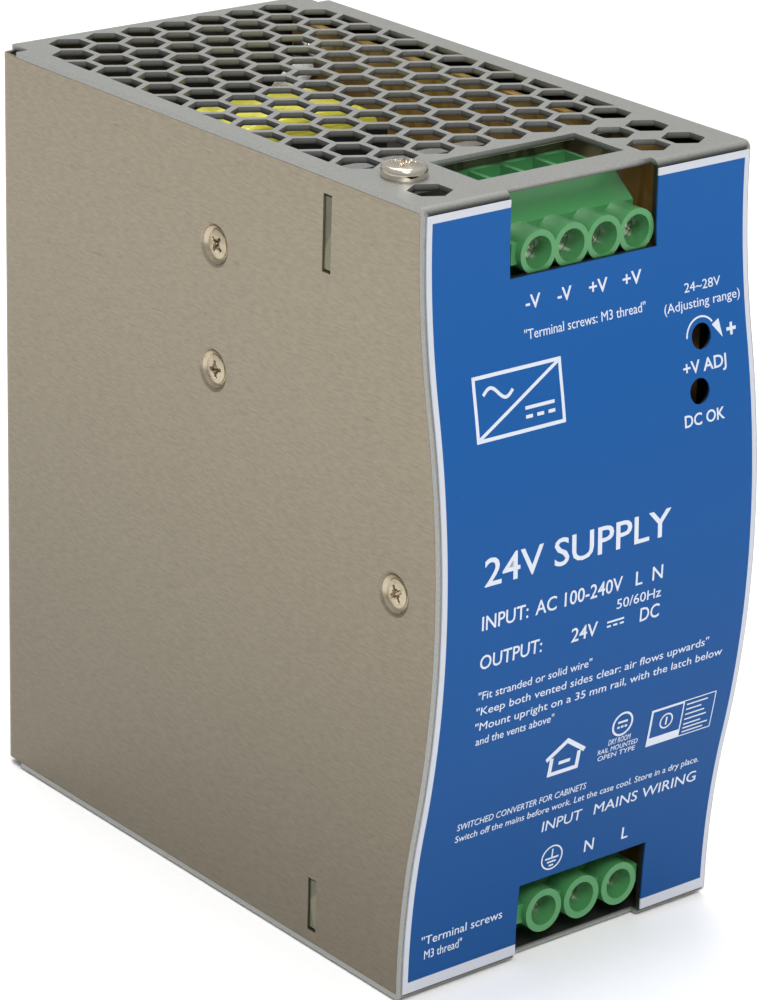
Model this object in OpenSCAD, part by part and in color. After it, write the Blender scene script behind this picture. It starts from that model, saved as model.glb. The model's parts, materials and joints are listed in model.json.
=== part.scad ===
// Enclosed power supply for a 35 mm rail. Millimetres, +Z up, the front looks along -Y.
// The origin is the middle of the seat that rests on the rail.
// Inside the case, places are told from its left, front and bottom: case_place() sets them down.

/* [Case] */
// Width of the case
case_w = 63; // [62:0.5:66]
// Height of the case
case_h = 125.2; // [125:0.2:128]
// Depth of the case above and below the swell of the front
case_d = 107; // [107:0.1:110]
// How far the middle of the front swells forward
bulge = 6.2; // [2:0.5:7]
// Thickness of the sheet steel
sheet_t = 0.9; // [0.8:0.1:1]
// Outer radius of the cover's bends
bend_r = 1.2; // [1.1:0.1:1.6]
// Outer radius of the chassis bends
chassis_r = 1.8; // [1.4:0.1:2.4]
// Thickness of the front label
label_t = 0.25; // [0.2:0.05:0.4]

/* [Vents] */
// Width of a vent hole across its flats
vent_flats = 5.9; // [5:0.1:6.2]
// Distance between vent holes in a row
vent_pitch = 7; // [6.9:0.1:7]
// Rows of vent holes
vent_rows = 14; // [10:1:14]
// Centre of the first vent hole from the left
vent_x = 6.6; // [6.4:0.1:7]
// Centre of the first row from the front
vent_y = 23.3; // [23:0.1:24]

/* [Terminals] */
// Distance between output poles
output_pitch = 6.35; // [6.3:0.05:6.5]
// Distance between input poles
input_pitch = 7.8; // [7.6:0.1:7.9]
// Height of the output poles above the bottom
output_z = 115; // [114.8:0.1:115.3]
// Height of the input poles above the bottom
input_z = 6.9; // [6.6:0.1:6.9]
// Travel of a wire clamp
clamp_travel = 3.5; // [2:0.1:3.5]

/* [Rail clip] */
// Height of the rail
rail_h = 35; // [35:0.1:35.2]
// Thickness of the rail's lips
rail_lip_t = 1; // [1:0.1:1.1]
// Thickness of the bracket and of the latch
bracket_t = 1.5; // [1.4:0.1:1.6]
// Travel of the latch
latch_travel = 5; // [4:0.5:5]

/* [Hidden] */
$fn = 48;

// Front profile: a convex arc in the middle runs into a concave one, and that into the flats.
swell_half = 60;                                    // half the height of the swelling stretch
swell_turn = 33;                                    // height at which the arcs meet
swell_angle = 2 * atan(bulge / swell_half);
convex_r = swell_turn / sin(swell_angle);
concave_r = (swell_half - swell_turn) / sin(swell_angle);
profile_steps = 96;                                 // steps up the front
mid_z = case_h / 2;
seam = 0.05;                                        // gap between the cover and the chassis

// Screws, M3
screw_r = 1.5;
screw_hole_r = 1.55;
driver_slot = 0.9;
pan_head_r = 3.5;
pan_head_h = 2.2;
flat_head_r = 3;
flat_head_h = 1.3;
dish_r = 3.5;                                       // mouth of the dish that a flat head lies in
dish_depth = 1.7;
cover_screw_at = [8, 14.4];
heatsink_screw_z = [87.2, 107.1];
heatsink_screw_y = 49.2;
lug_screw_at = [4.3, 65.4];
spacer_at = [[28, 8], [28, 117], [99, 8], [99, 117]];

// Windows and holes of the cover
vent_margin = 3.3;
front_vent_y = [6.9, 14.9];
output_window = [15.8, 44.3];                       // from the left
output_window_z = 112.2;
input_window = [22.7, 48.9];
input_window_z = 13.2;
wire_window = [15.5, 43.6];
wire_window_y = [6.8, 17.9];
corner_notch = [2.3, 4.6];
adjust_at = [52.5, 97.2];
led_at = [51.4, 89.1];
front_hole_r = 2;
hole_setback = 0.5;                                 // the cover's hole is wider than the label's by this
slot_y = 21.9;
slot_w = 2;
slot_z = [[2.9, 11.8], [110, 121.9]];
lug_h = 13;
lug_depth = 8;
tab_w = 13;
tab_d = 11;

// Label
label_margin_x = 0.4;
label_margin_z = 1.2;

// Boards
board_t = 1.6;
board_x = 56.6;                                     // face that carries the parts
board_y = [3.5, 104];
board_z = [3, 122.5];
front_board_y = 21.1;
front_board_z = [2, 123];
lead_w = 0.7;

// Terminals, told from the pole's axis and the case's front
tube_r = [3.4, 3.6];                                // output, input
tube_bore_r = 2.5;
tube_front = 0.2;
block_front = 4.9;
block_back = 21;
output_rise = 6.9;                                  // from the pole's axis to the wire side
input_rise = 5.3;
block_drop = 6.5;
end_wall = 0.2;
head_pocket_r = 2.85;
terminal_head_r = 2.75;
terminal_head = [4, 5.8];                           // front and back of the head
chamber = [7, 19.8];                                // front and back
chamber_w = 5.5;
clamp_w = 4.9;
clamp_d = 8;
clamp_h = 5;
clamp_front = 10.8;
clamp_wall = 2;
clamp_back_wall = 0.8;
clamp_side_wall = 0.7;
contact_y = [13.2, 14.2];
contact_w = 3;
foot_z = [-6, -4.9];
output_x = [for (i = [0:3]) 21.8 + i * output_pitch];
input_x = [for (i = [0:2]) 28.7 + i * input_pitch];

// Wound parts
winding_z = [80, 115.5];
transformer_at = [10, 60, 85];
transformer_size = [45, 32, 24];
choke_at = [17, 62, 10];
choke_size = [38, 26, 22];

// Rail clip, told from the origin
rail_half = rail_h / 2;
hook_gap = 0.3;
hook_reach = 2.5;                                   // how far a hook covers the lip
hook_x = [-17, 9];
hook_w = 8;
bracket_half_w = 18;
seat_half = 14.5;                                   // half the height of the raised seat
seat_step = 0.3;                                    // how far the seat stands proud of the plate
bracket_z = [-46, 26];
latch_half_w = 9;
latch_bottom = -56;
latch_gap = 0.1;
latch_y = latch_gap - seat_step;                    // front of the latch, which slides on the plate
guide_y = [latch_y + bracket_t + 2 * latch_gap, 3.2]; // lips of the guides
guide_z = [-42, -26];
spring_r = 1.8;
spring_wire = 0.5;
spring_z = [-42, -30];
spring_turns = 6;
rivet_at = [[-14, -24], [14, -24], [-14, 23], [14, 23]];

function swell(z) = let (d = abs(z - mid_z))
    d < swell_turn ? bulge - convex_r + sqrt(convex_r * convex_r - d * d)
    : d < swell_half ? concave_r - sqrt(concave_r * concave_r - pow(swell_half - d, 2))
    : 0;

// Points up the front at a distance back from its face, between two heights
function front_points(back, low, high) =
    [for (i = [0:profile_steps]) let (z = low + (high - low) * i / profile_steps) [back - swell(z), z]];

// Points round a corner of radius r about a centre
function corner(centre, r, from, to) =
    [for (i = [0:6]) let (a = from + (to - from) * i / 6) centre + r * [cos(a), sin(a)]];

module case_place() translate([-case_w / 2, -case_d - bracket_t, -case_h / 2]) children();
module along_x(length) rotate([90, 0, 90]) linear_extrude(length) children();
module rod_x(r, length) rotate([0, 90, 0]) cylinder(r = r, h = length);
module rod_y(r, length) rotate([-90, 0, 0]) cylinder(r = r, h = length);
module box(low, high) translate(low) cube(high - low);

// Side view of the space inside a skin of the given thickness, open at the back by the given reach
module side_profile(skin, reach) {
    r = bend_r - skin;
    low = skin + r;
    high = case_h - skin - r;
    polygon(concat(
        corner([skin + r, low], r, 270, 180),
        front_points(skin, low, high),
        corner([skin + r, high], r, 180, 90),
        [[case_d + reach, case_h - skin], [case_d + reach, skin]]));
}

module vent(x, y) translate([x, y]) rotate(90) circle(r = vent_flats / sqrt(3), $fn = 6);

module vent_field() intersection() {
    union() for (row = [0:vent_rows - 1]) {
        half = row % 2;
        last = half == 0 ? 7 : row == vent_rows - 1 ? 6 : 7;
        first = half == 0 || row == vent_rows - 1 ? 0 : -1;
        for (i = [first:last]) vent(vent_x + (i + half / 2) * vent_pitch,
            vent_y + row * vent_pitch * sqrt(3) / 2);
    }
    translate([vent_margin, 0]) square([case_w - 2 * vent_margin - 0.6, case_d]);
}

module corner_notches() for (x = [0, case_w - corner_notch[0]])
    translate([x, case_d - corner_notch[1]]) square(corner_notch + [0, 1]);

module top_openings() {
    vent_field();
    for (y = front_vent_y) for (i = [6, 7]) vent(vent_x + i * vent_pitch, y);
    vent(vent_x, front_vent_y[0]);
    translate([wire_window[0], wire_window_y[0]])
        square([wire_window[1] - wire_window[0], wire_window_y[1] - wire_window_y[0]]);
    corner_notches();
    translate(cover_screw_at) circle(r = screw_hole_r);
}

module bottom_openings() {
    vent_field();
    translate([input_window[0], wire_window_y[0]])
        square([input_window[1] - input_window[0], wire_window_y[1] - wire_window_y[0]]);
    corner_notches();
}

// Windows and holes through the front, its round holes wider in the cover than in the label
module front_openings(wider) {
    reach = bulge + 3;
    box([output_window[0], -reach, output_window_z], [output_window[1], bend_r + 0.6, case_h + 1]);
    box([input_window[0], -reach, -1], [input_window[1], bend_r + 0.6, input_window_z]);
    for (at = [adjust_at, led_at]) translate([at[0], -reach, at[1]]) rod_y(front_hole_r + wider, reach + 3);
}

// Inner lugs behind the front's edges, tapped for the side screws
module cover_lugs() for (x = [sheet_t + 0.8, case_w - 2 * sheet_t - 0.8]) difference() {
    translate([x, 0, 0]) along_x(sheet_t) intersection() {
        side_profile(sheet_t - 0.1, 0);
        translate([-bulge, lug_screw_at[1] - lug_h / 2]) square([bulge + lug_depth, lug_h]);
    }
    translate([x - 1, lug_screw_at[0], lug_screw_at[1]]) rod_x(screw_hole_r, 3);
}

module vented_cover() color([0.62, 0.63, 0.61]) case_place() {
    difference() {
        along_x(case_w) difference() {
            side_profile(0, 0);
            side_profile(sheet_t, 1);
        }
        translate([0, 0, case_h - sheet_t - 0.5]) linear_extrude(sheet_t + 1) top_openings();
        translate([0, 0, -0.5]) linear_extrude(sheet_t + 1) bottom_openings();
        translate([cover_screw_at[0], cover_screw_at[1], -0.01])
            cylinder(r1 = dish_r, r2 = dish_r - sheet_t - 0.1, h = sheet_t + 0.1);
        front_openings(hole_setback);
    }
    cover_lugs();
}

// Plan of the chassis: left side, back and right side with round bends
module chassis_plan(skin) {
    r = chassis_r - skin;
    front = -bulge - 1 - skin;
    back = case_d - skin;
    polygon(concat([[skin, front]],
        corner([skin + r, back - r], r, 180, 90),
        corner([case_w - skin - r, back - r], r, 90, 0),
        [[case_w - skin, front]]));
}

module chassis_shell() intersection() {
    linear_extrude(case_h) difference() {
        chassis_plan(0);
        chassis_plan(sheet_t);
    }
    translate([-1, 0, 0]) along_x(case_w + 2) side_profile(sheet_t + seam, 1);
}

// A tab under the cover's top or over its bottom, for the pan-head screw
module chassis_tabs() for (z = [sheet_t + seam, case_h - 2 * sheet_t - seam]) difference() {
    box([sheet_t - 0.1, cover_screw_at[1] - tab_d / 2, z],
        [tab_w, cover_screw_at[1] + tab_d / 2, z + sheet_t]);
    translate([cover_screw_at[0], cover_screw_at[1], z - 1])
        cylinder(r = z < mid_z ? screw_hole_r + 0.6 : screw_hole_r, h = 3);
}

// Boss behind a dish in a side panel, and the dish itself
module dish_boss() rod_x(dish_r + 0.7, dish_depth - 0.02);
module dish() {
    translate([-0.01, 0, 0]) rotate([0, 90, 0]) cylinder(r1 = dish_r, r2 = screw_hole_r, h = dish_depth);
    translate([-0.01, 0, 0]) rod_x(screw_hole_r, dish_depth + 1);
}
module at_left_screws() {
    for (z = heatsink_screw_z) translate([0, heatsink_screw_y, z]) children();
    translate([0, lug_screw_at[0], lug_screw_at[1]]) children();
}
module at_right_screws() {
    for (at = concat([lug_screw_at], spacer_at)) translate([case_w, at[0], at[1]]) mirror([1, 0, 0]) children();
}

module chassis() color([0.6, 0.56, 0.5]) case_place() {
    difference() {
        union() {
            chassis_shell();
            at_left_screws() dish_boss();
            at_right_screws() dish_boss();
        }
        at_left_screws() dish();
        at_right_screws() dish();
        for (z = slot_z) box([-1, slot_y - slot_w / 2, z[0]], [sheet_t + 1, slot_y + slot_w / 2, z[1]]);
        for (at = rivet_at) translate([case_w / 2 + at[0], case_d - 3, mid_z + at[1]])
            rod_y(screw_hole_r, 6);
    }
    chassis_tabs();
}

module front_label() color([0.16, 0.38, 0.66]) case_place() difference() {
    low = label_margin_z;
    high = case_h - label_margin_z;
    rear = [for (p = front_points(-0.02, low, high)) p];
    face = [for (i = [profile_steps:-1:0]) front_points(-0.02 - label_t, low, high)[i]];
    translate([label_margin_x, 0, 0]) along_x(case_w - 2 * label_margin_x) polygon(concat(rear, face));
    front_openings(0);
}

// A cross recess, cut down from z = 0
module cross_recess(length, depth) for (a = [0, 90]) rotate(a)
    translate([-length / 2, -driver_slot / 2, -depth]) cube([length, driver_slot, depth + 1]);

// Pan-head screw, its seat at z = 0 and its thread downwards
module pan_screw(length) difference() {
    union() {
        rotate_extrude() polygon(concat([[0, 0], [pan_head_r - 0.2, 0], [pan_head_r, 0.3]],
            corner([pan_head_r - 1.5, pan_head_h - 1.5], 1.5, 0, 80), [[0, pan_head_h + 0.15]]));
        translate([0, 0, -length]) cylinder(r = screw_r, h = length + 0.1);
    }
    translate([0, 0, pan_head_h + 0.2]) cross_recess(4.2, 1.5);
}

// Countersunk screw along +X, its face at x = 0
module flat_screw(length) difference() {
    union() {
        rotate([0, 90, 0]) cylinder(r1 = flat_head_r, r2 = screw_r, h = flat_head_h);
        rod_x(screw_r, length);
    }
    rotate([0, -90, 0]) cross_recess(3.4, 0.9);
}

module cover_screws() color([0.8, 0.78, 0.72]) case_place() {
    translate([cover_screw_at[0], cover_screw_at[1], case_h]) pan_screw(5);
    translate([cover_screw_at[0], cover_screw_at[1], 0.1]) rotate([0, -90, 0]) flat_screw(5);
}
module left_screws() color([0.72, 0.68, 0.6]) case_place() at_left_screws()
    translate([0.25, 0, 0]) flat_screw(6);
module right_screws() color([0.72, 0.68, 0.6]) case_place() {
    translate([case_w - 0.25, lug_screw_at[0], lug_screw_at[1]]) mirror([1, 0, 0]) flat_screw(2.6);
    for (at = spacer_at) translate([case_w - 0.25, at[0], at[1]]) mirror([1, 0, 0]) flat_screw(3.2);
}

module insulating_sheet() color([0.12, 0.12, 0.13]) case_place() difference() {
    box([59.6, board_y[0] + 1, board_z[0] + 1], [60, board_y[1] - 1, board_z[1] - 1]);
    for (at = spacer_at) translate([59, at[0], at[1]]) rod_x(2.85, 2);
}
module board_spacers() color([0.75, 0.65, 0.4]) case_place()
    for (at = spacer_at) translate([board_x + board_t, at[0], at[1]]) difference() {
        rod_x(2.8, case_w - dish_depth - board_x - board_t);
        translate([-1, 0, 0]) rod_x(screw_hole_r, 9);
    }
module board_screws() color([0.7, 0.7, 0.7]) case_place()
    for (at = spacer_at) translate([board_x, at[0], at[1]]) rotate([0, -90, 0]) pan_screw(2.6);

module main_board() color([0.66, 0.48, 0.16]) case_place() difference() {
    box([board_x, board_y[0], board_z[0]], [board_x + board_t, board_y[1], board_z[1]]);
    for (at = spacer_at) translate([board_x - 1, at[0], at[1]]) rod_x(screw_hole_r, 4);
}
module front_board() color([0.78, 0.7, 0.42]) case_place() difference() {
    union() {
        box([1.2, front_board_y, front_board_z[0]], [board_x, front_board_y + board_t, front_board_z[1]]);
        for (z = slot_z) box([0.3, front_board_y, z[0] + 0.4], [1.3, front_board_y + board_t, z[1] - 0.4]);
    }
    for (x = output_x) foot_hole(x, output_z, 1);
    for (x = input_x) foot_hole(x, input_z, -1);
}
module foot_hole(x, z, side) translate([x, front_board_y - 1, z])
    translate([-0.6, 0, side > 0 ? foot_z[0] - 0.1 : -foot_z[1] - 0.1]) cube([1.2, board_t + 2, 1.3]);

// Terminal block about its first pole's axis, wires entering from +Z
module terminal_block(poles, pitch, r, rise) difference() {
    union() {
        translate([-pitch / 2 - end_wall, 0, 0]) along_x(poles * pitch + 2 * end_wall) polygon(
            [[block_front, -block_drop], [block_front, rise - 3.8], [block_front + 4.8, rise],
             [block_back, rise], [block_back, -block_drop]]);
        for (i = [0:poles - 1]) translate([i * pitch, tube_front, 0]) rod_y(r, block_front);
        box([-pitch / 2 - 1, 1.4, -1.6], [poles * pitch - pitch / 2 + 1, block_front + 1, 1.6]);
    }
    for (i = [0:poles - 1]) translate([i * pitch, 0, 0]) pole_cavity(rise);
}
module pole_cavity(rise) {
    translate([0, tube_front - 1, 0]) rod_y(tube_bore_r, terminal_head[0] - tube_front + 1);
    translate([0, terminal_head[0] - 0.05, 0]) rod_y(head_pocket_r, terminal_head[1] - terminal_head[0] + 0.1);
    translate([0, terminal_head[0], 0]) rod_y(screw_hole_r, chamber[0] - terminal_head[0] + 0.5);
    box([-chamber_w / 2, chamber[0], -5.3], [chamber_w / 2, chamber[1], 4.5]);
    box([-chamber_w / 2, 12.4, 4], [chamber_w / 2, chamber[1], rise + 1]);
    box([-contact_w / 2 - 0.2, contact_y[0] - 0.2, foot_z[0] - 0.1],
        [contact_w / 2 + 0.2, block_back + 1, -4.7]);
}
module at_output(pole) translate([output_x[pole], 0, output_z]) children();
module at_input(pole) translate([input_x[pole], 0, input_z]) mirror([0, 0, 1]) children();

module output_terminal_housing() color([0.3, 0.6, 0.34]) case_place() at_output(0)
    terminal_block(len(output_x), output_pitch, tube_r[0], output_rise);
module input_terminal_housing() color([0.3, 0.6, 0.34]) case_place() at_input(0)
    terminal_block(len(input_x), input_pitch, tube_r[1], input_rise);

// Contact bar in the clamp's window, with a foot that runs back through the front board
module contact() {
    box([-contact_w / 2, contact_y[0], foot_z[0]], [contact_w / 2, contact_y[1], 2.5]);
    box([-contact_w / 2, contact_y[0], foot_z[0]], [contact_w / 2, front_board_y, foot_z[1]]);
    box([-0.5, front_board_y - 1, foot_z[0]], [0.5, front_board_y + board_t + 0.8, foot_z[1]]);
}
module output_contacts() color([0.75, 0.72, 0.62]) case_place()
    for (pole = [0:len(output_x) - 1]) at_output(pole) contact();
module input_contacts() color([0.75, 0.72, 0.62]) case_place()
    for (pole = [0:len(input_x) - 1]) at_input(pole) contact();

module terminal_screw() color([0.72, 0.7, 0.66]) difference() {
    union() {
        translate([0, terminal_head[0], 0]) rod_y(terminal_head_r, terminal_head[1] - terminal_head[0]);
        translate([0, terminal_head[0], 0]) rod_y(screw_r, 12.95 - terminal_head[0]);
    }
    translate([0, terminal_head[0], 0]) rotate([90, 0, 0]) cross_recess(4.4, 1);
}
module output_screw_1() case_place() at_output(0) terminal_screw();
module output_screw_2() case_place() at_output(1) terminal_screw();
module output_screw_3() case_place() at_output(2) terminal_screw();
module output_screw_4() case_place() at_output(3) terminal_screw();
module input_screw_1() case_place() at_input(0) terminal_screw();
module input_screw_2() case_place() at_input(1) terminal_screw();
module input_screw_3() case_place() at_input(2) terminal_screw();

// Clamp cage: a thick threaded front wall, and a window for the wire and the contact bar
module clamp() color([0.78, 0.76, 0.7]) difference() {
    box([-clamp_w / 2, clamp_front, -clamp_h / 2], [clamp_w / 2, clamp_front + clamp_d, clamp_h / 2]);
    box([clamp_side_wall - clamp_w / 2, clamp_front + clamp_wall, -clamp_h],
        [clamp_w / 2 - clamp_side_wall, clamp_front + clamp_d - clamp_back_wall, clamp_h]);
    translate([0, clamp_front - 1, 0]) rod_y(screw_hole_r, clamp_wall + 2);
}
module output_clamp_1() case_place() at_output(0) clamp();
module output_clamp_2() case_place() at_output(1) clamp();
module output_clamp_3() case_place() at_output(2) clamp();
module output_clamp_4() case_place() at_output(3) clamp();
module input_clamp_1() case_place() at_input(0) clamp();
module input_clamp_2() case_place() at_input(1) clamp();
module input_clamp_3() case_place() at_input(2) clamp();

// Trimmer and lamp behind the holes of the front
module trimmer_body() color([0.2, 0.35, 0.7]) case_place() difference() {
    translate([adjust_at[0], 0, adjust_at[1]]) union() {
        box([-2, 5.4, -3.4], [board_x - adjust_at[0], 10.6, 3.4]);
        for (z = [-2.5, 0, 2.5]) box([-0.3, 10, z - 0.3], [board_x - adjust_at[0], 11.6, z + 0.3]);
    }
    translate([adjust_at[0], 5, adjust_at[1]]) rod_y(1.15, 3);
}
module trimmer_rotor() color([0.93, 0.9, 0.82]) case_place() translate([adjust_at[0], 0, adjust_at[1]])
    difference() {
        union() {
            translate([0, 3.4, 0]) rod_y(1.75, 1.9);
            translate([0, 3.4, 0]) rod_y(1.1, 4.3);
        }
        translate([0, 3.4, 0]) rotate([90, 0, 0]) cross_recess(2.6, 0.8);
    }
module indicator_led() color([0.75, 0.85, 0.7]) case_place() translate([led_at[0], 0, led_at[1]]) {
    translate([0, 1.8, 0]) rotate([-90, 0, 0]) rotate_extrude() polygon(concat(
        [[0, 4.6], [1.85, 4.6], [1.85, 3.8], [1.5, 3.8]], corner([0, 1.5], 1.5, 0, -90)));
    for (z = [-1.27, 1.27]) {
        box([-0.25, 6.2, z - 0.25], [0.25, 8.5, z + 0.25]);
        box([-0.25, 8, z - 0.25], [board_x - led_at[0], 8.5, z + 0.25]);
    }
}

// E-core pair: two backs, two outer legs and a middle leg, about its low corner
module wound_core(size, leg) {
    back = size[1] / 4;
    difference() {
        cube(size);
        for (x = [leg, size[0] / 2 + leg]) translate([x, back, -1])
            cube([size[0] / 2 - 2 * leg, size[1] - 2 * back, size[2] + 2]);
    }
}
// Coil between the legs, wound round the middle one and standing out above and below it
module coil(size, leg, proud, inset) {
    back = size[1] / 4 + inset;
    difference() {
        translate([leg + 0.3, back, -proud])
            cube([size[0] - 2 * leg - 0.6, size[1] - 2 * back, size[2] + 2 * proud]);
        translate([size[0] / 2 - leg - 0.3, 0, -0.3]) cube([2 * leg + 0.6, size[1], size[2] + 0.6]);
    }
}
module transformer_core() color([0.14, 0.14, 0.15]) case_place() translate(transformer_at)
    wound_core(transformer_size, 6);
module transformer_winding() color([0.85, 0.8, 0.25]) case_place() translate(transformer_at)
    coil(transformer_size, 6, 6.5, 1.8);
module transformer_bobbin() color([0.1, 0.1, 0.1]) case_place() translate(transformer_at) difference() {
    coil(transformer_size, 6, 5, 0.3);
    translate([0, transformer_size[1] / 4 + 1.5, -20])
        cube([transformer_size[0], transformer_size[1] / 2 - 3, 80]);
}
module boost_choke_core() color([0.16, 0.15, 0.15]) case_place() translate(choke_at)
    wound_core(choke_size, 5);
module boost_choke_winding() color([0.85, 0.8, 0.25]) case_place() translate(choke_at)
    coil(choke_size, 5, 4.5, 0.3);

module ring(mean_r, r) rotate([0, 90, 0]) rotate_extrude() translate([mean_r, 0]) circle(r = r);
module line_choke_core() color([0.2, 0.42, 0.25]) case_place() translate([47, 44, 18]) ring(8.5, 3);
module line_choke_windings() color([0.72, 0.36, 0.16]) case_place() translate([47, 44, 18])
    for (side = [0, 180]) for (turn = [-2:2]) rotate([side + turn * 24, 0, 0])
        translate([0, 0, 8.5]) rotate([90, 0, 0]) rotate_extrude() translate([3.8, 0]) circle(r = 0.7);
module output_choke() color([0.75, 0.7, 0.2]) case_place() translate([48, 41.5, 54]) ring(8, 4);

// Can capacitor along -X from the board, with a crimped groove near its foot
module can(r, length) rotate([0, -90, 0]) rotate_extrude() polygon(
    [[0, 0], [r, 0], [r, 1.6], [r - 0.5, 2.1], [r - 0.5, 2.7], [r, 3.2], [r, length - 0.8],
     [r - 0.8, length], [0, length]]);
module bulk_capacitor() color([0.1, 0.1, 0.11]) case_place() translate([board_x, 75, 57]) can(14.5, 45);
module output_capacitors() color([0.1, 0.1, 0.12]) case_place()
    for (z = [75, 86, 97, 108]) translate([board_x, 30, z]) can(5, 21);
module line_capacitors() color([0.45, 0.46, 0.5]) case_place() {
    box([38, 31, 31.3], [board_x, 52, 39]);
    box([36, 53.8, 42], [board_x, 59, 66]);
}
module disc(r, t, at) translate(at) {
    rod_y(r, t);
    box([0, t / 2 - 0.35, -r / 2 - 0.35], [board_x - at[0], t / 2 + 0.35, -r / 2 + 0.35]);
    box([0, t / 2 - 0.35, r / 2 - 0.35], [board_x - at[0], t / 2 + 0.35, r / 2 + 0.35]);
}
module disc_capacitors() color([0.2, 0.4, 0.75]) case_place()
    for (z = [12.5, 23.5]) disc(4.5, 3, [51.5, 57.2, z]);
module surge_discs() color([0.1, 0.2, 0.5]) case_place() {
    disc(6.5, 3.6, [48, 24, 48]);
    disc(5, 4, [49, 24, 61.5]);
}
module line_fuse() color([0.85, 0.85, 0.8]) case_place() translate([52.6, 27.3, 14]) {
    cylinder(r = 2.6, h = 20);
    for (z = [0.6, 14.4]) translate([0, -1, z]) cube([board_x - 52.6, 2, 5]);
}

// Flat power package: body, tab and three leads to the board
module package(body, at) translate(at) {
    cube(body);
    for (i = [-1:1]) translate([body[0] - 0.1, 1, body[2] / 2 + i * body[2] / 3.2 - lead_w / 2])
        cube([board_x - at[0] - body[0] + 0.1, lead_w, lead_w]);
}
module output_rectifiers() color([0.12, 0.12, 0.13]) case_place()
    for (z = [78, 96]) difference() {
        package([21, 4.9, 15.6], [19, 42.8, z]);
        translate([24, 40, z + 7.8]) rod_y(screw_hole_r, 9);
    }
module output_heatsink() color([0.68, 0.68, 0.7]) case_place() difference() {
    box([dish_depth, 47.7, 74], [54, 50.7, 115]);
    for (z = heatsink_screw_z) translate([1, heatsink_screw_y, z]) rod_x(screw_hole_r, 8);
    for (z = [85.8, 103.8]) translate([24, 40, z]) rod_y(screw_hole_r, 15);
}
module input_heatsink() color([0.68, 0.68, 0.7]) case_place() difference() {
    union() {
        box([10, 97.6, 13], [board_x - 1, 100.4, 78]);
        for (x = [10:6:50]) box([x, 100, 13], [x + 1.4, 105.2, 78]);
        for (z = [16, 72]) box([board_x - 2, 98, z], [board_x, 99.4, z + 2]);
    }
    for (z = [18, 36, 54, 70.5]) translate([31.5, 95, z]) rod_y(screw_hole_r, 12);
}
module power_transistors() color([0.12, 0.12, 0.13]) case_place()
    for (z = [18, 36, 54]) difference() {
        package([16, 4.5, 10.2], [28, 93.1, z - 5.1]);
        translate([31.5, 90, z]) rod_y(screw_hole_r, 9);
    }
module bridge_rectifier() color([0.13, 0.13, 0.14]) case_place() difference() {
    package([20, 4.5, 12], [28, 93.1, 64.5]);
    translate([31.5, 90, 70.5]) rod_y(screw_hole_r, 9);
}
module package_screws() color([0.75, 0.75, 0.75]) case_place() {
    for (z = [85.8, 103.8]) translate([24, 42.8, z]) rotate([90, 0, 0]) pan_screw(8);
    for (z = [18, 36, 54, 70.5]) translate([31.5, 93.1, z]) rotate([90, 0, 0]) pan_screw(6.5);
}
module control_chips() color([0.1, 0.1, 0.1]) case_place()
    for (at = [[38, 69.5], [52, 70], [93.5, 84], [93.5, 98]]) {
        box([board_x - 2.4, at[0], at[1]], [board_x - 0.4, at[0] + 6.4, at[1] + 9.6]);
        for (i = [0:3]) box([board_x - 0.5, at[0] - 0.6, at[1] + 1 + i * 2.54],
            [board_x, at[0] + 7, at[1] + 1.5 + i * 2.54]);
    }
module lead_sleeve() color([0.92, 0.92, 0.9]) case_place() translate([40, 85, 116.4])
    rotate([0, 90, 41]) cylinder(r = 2.1, h = 16);

// Metal strap from the earth pole's foot to the left side
module earth_strap() color([0.75, 0.72, 0.62]) case_place() difference() {
    union() {
        box([sheet_t + 0.02, 23.6, 4], [1.7, 33, 14]);
        box([sheet_t + 0.02, 23.6, 11.7], [input_x[0] + 1, 24.3, 14]);
        box([input_x[0] - 1, 22.9, 11.7], [input_x[0] + 1, 24, 14]);
    }
    translate([input_x[0] - 0.6, 22, input_z - foot_z[1] - 0.1]) cube([1.2, 1.6, 1.3]);
}

// Bracket on the back: a plate with a raised seat, two hooks over the rail's upper lip, and guides for
// the latch
module bracket_hook(x) {
    inner = rail_half + 0.2;
    back = rail_lip_t + hook_gap;
    box([x, -bracket_t, inner], [x + hook_w, back + bracket_t, inner + bracket_t]);
    box([x, back, rail_half - hook_reach], [x + hook_w, back + bracket_t, inner + bracket_t]);
}
module rail_bracket() color([0.7, 0.7, 0.72]) {
    difference() {
        union() {
            box([-bracket_half_w, -bracket_t, bracket_z[0]], [bracket_half_w, -seat_step, bracket_z[1]]);
            box([-bracket_half_w, -bracket_t, -seat_half], [bracket_half_w, 0, seat_half]);
        }
        box([-spring_r - 0.9, -bracket_t - 1, spring_z[0] + 0.1], [spring_r + 0.9, 1, spring_z[1] + 1]);
        for (at = rivet_at) translate([at[0], -5, at[1]]) rod_y(screw_hole_r, 9);
    }
    for (x = hook_x) bracket_hook(x);
    for (side = [-1, 1]) {
        low = side > 0 ? latch_half_w + latch_gap : -latch_half_w - latch_gap - bracket_t;
        lip = side > 0 ? latch_half_w - 1.6 : -latch_half_w - latch_gap - bracket_t;
        lip_w = 1.7 + bracket_t;
        box([low, -bracket_t, guide_z[0]], [low + bracket_t, guide_y[1], guide_z[1]]);
        box([lip, guide_y[0], guide_z[0]], [lip + lip_w, guide_y[1], guide_z[1]]);
    }
    box([-spring_r, -bracket_t, spring_z[0] - 1], [spring_r, bracket_t + 0.6, spring_z[0]]);
}
module bracket_rivets() color([0.75, 0.75, 0.75]) for (at = rivet_at) translate([at[0], 0, at[1]]) {
    translate([0, -bracket_t - sheet_t - 0.8, 0]) rod_y(screw_r, bracket_t + sheet_t + 0.6);
    translate([0, -seat_step, 0]) rotate([-90, 0, 0]) cylinder(r1 = 2.9, r2 = 2, h = 0.9);
    translate([0, -bracket_t - sheet_t - 0.9, 0]) rod_y(2.3, 0.9);
}

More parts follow.
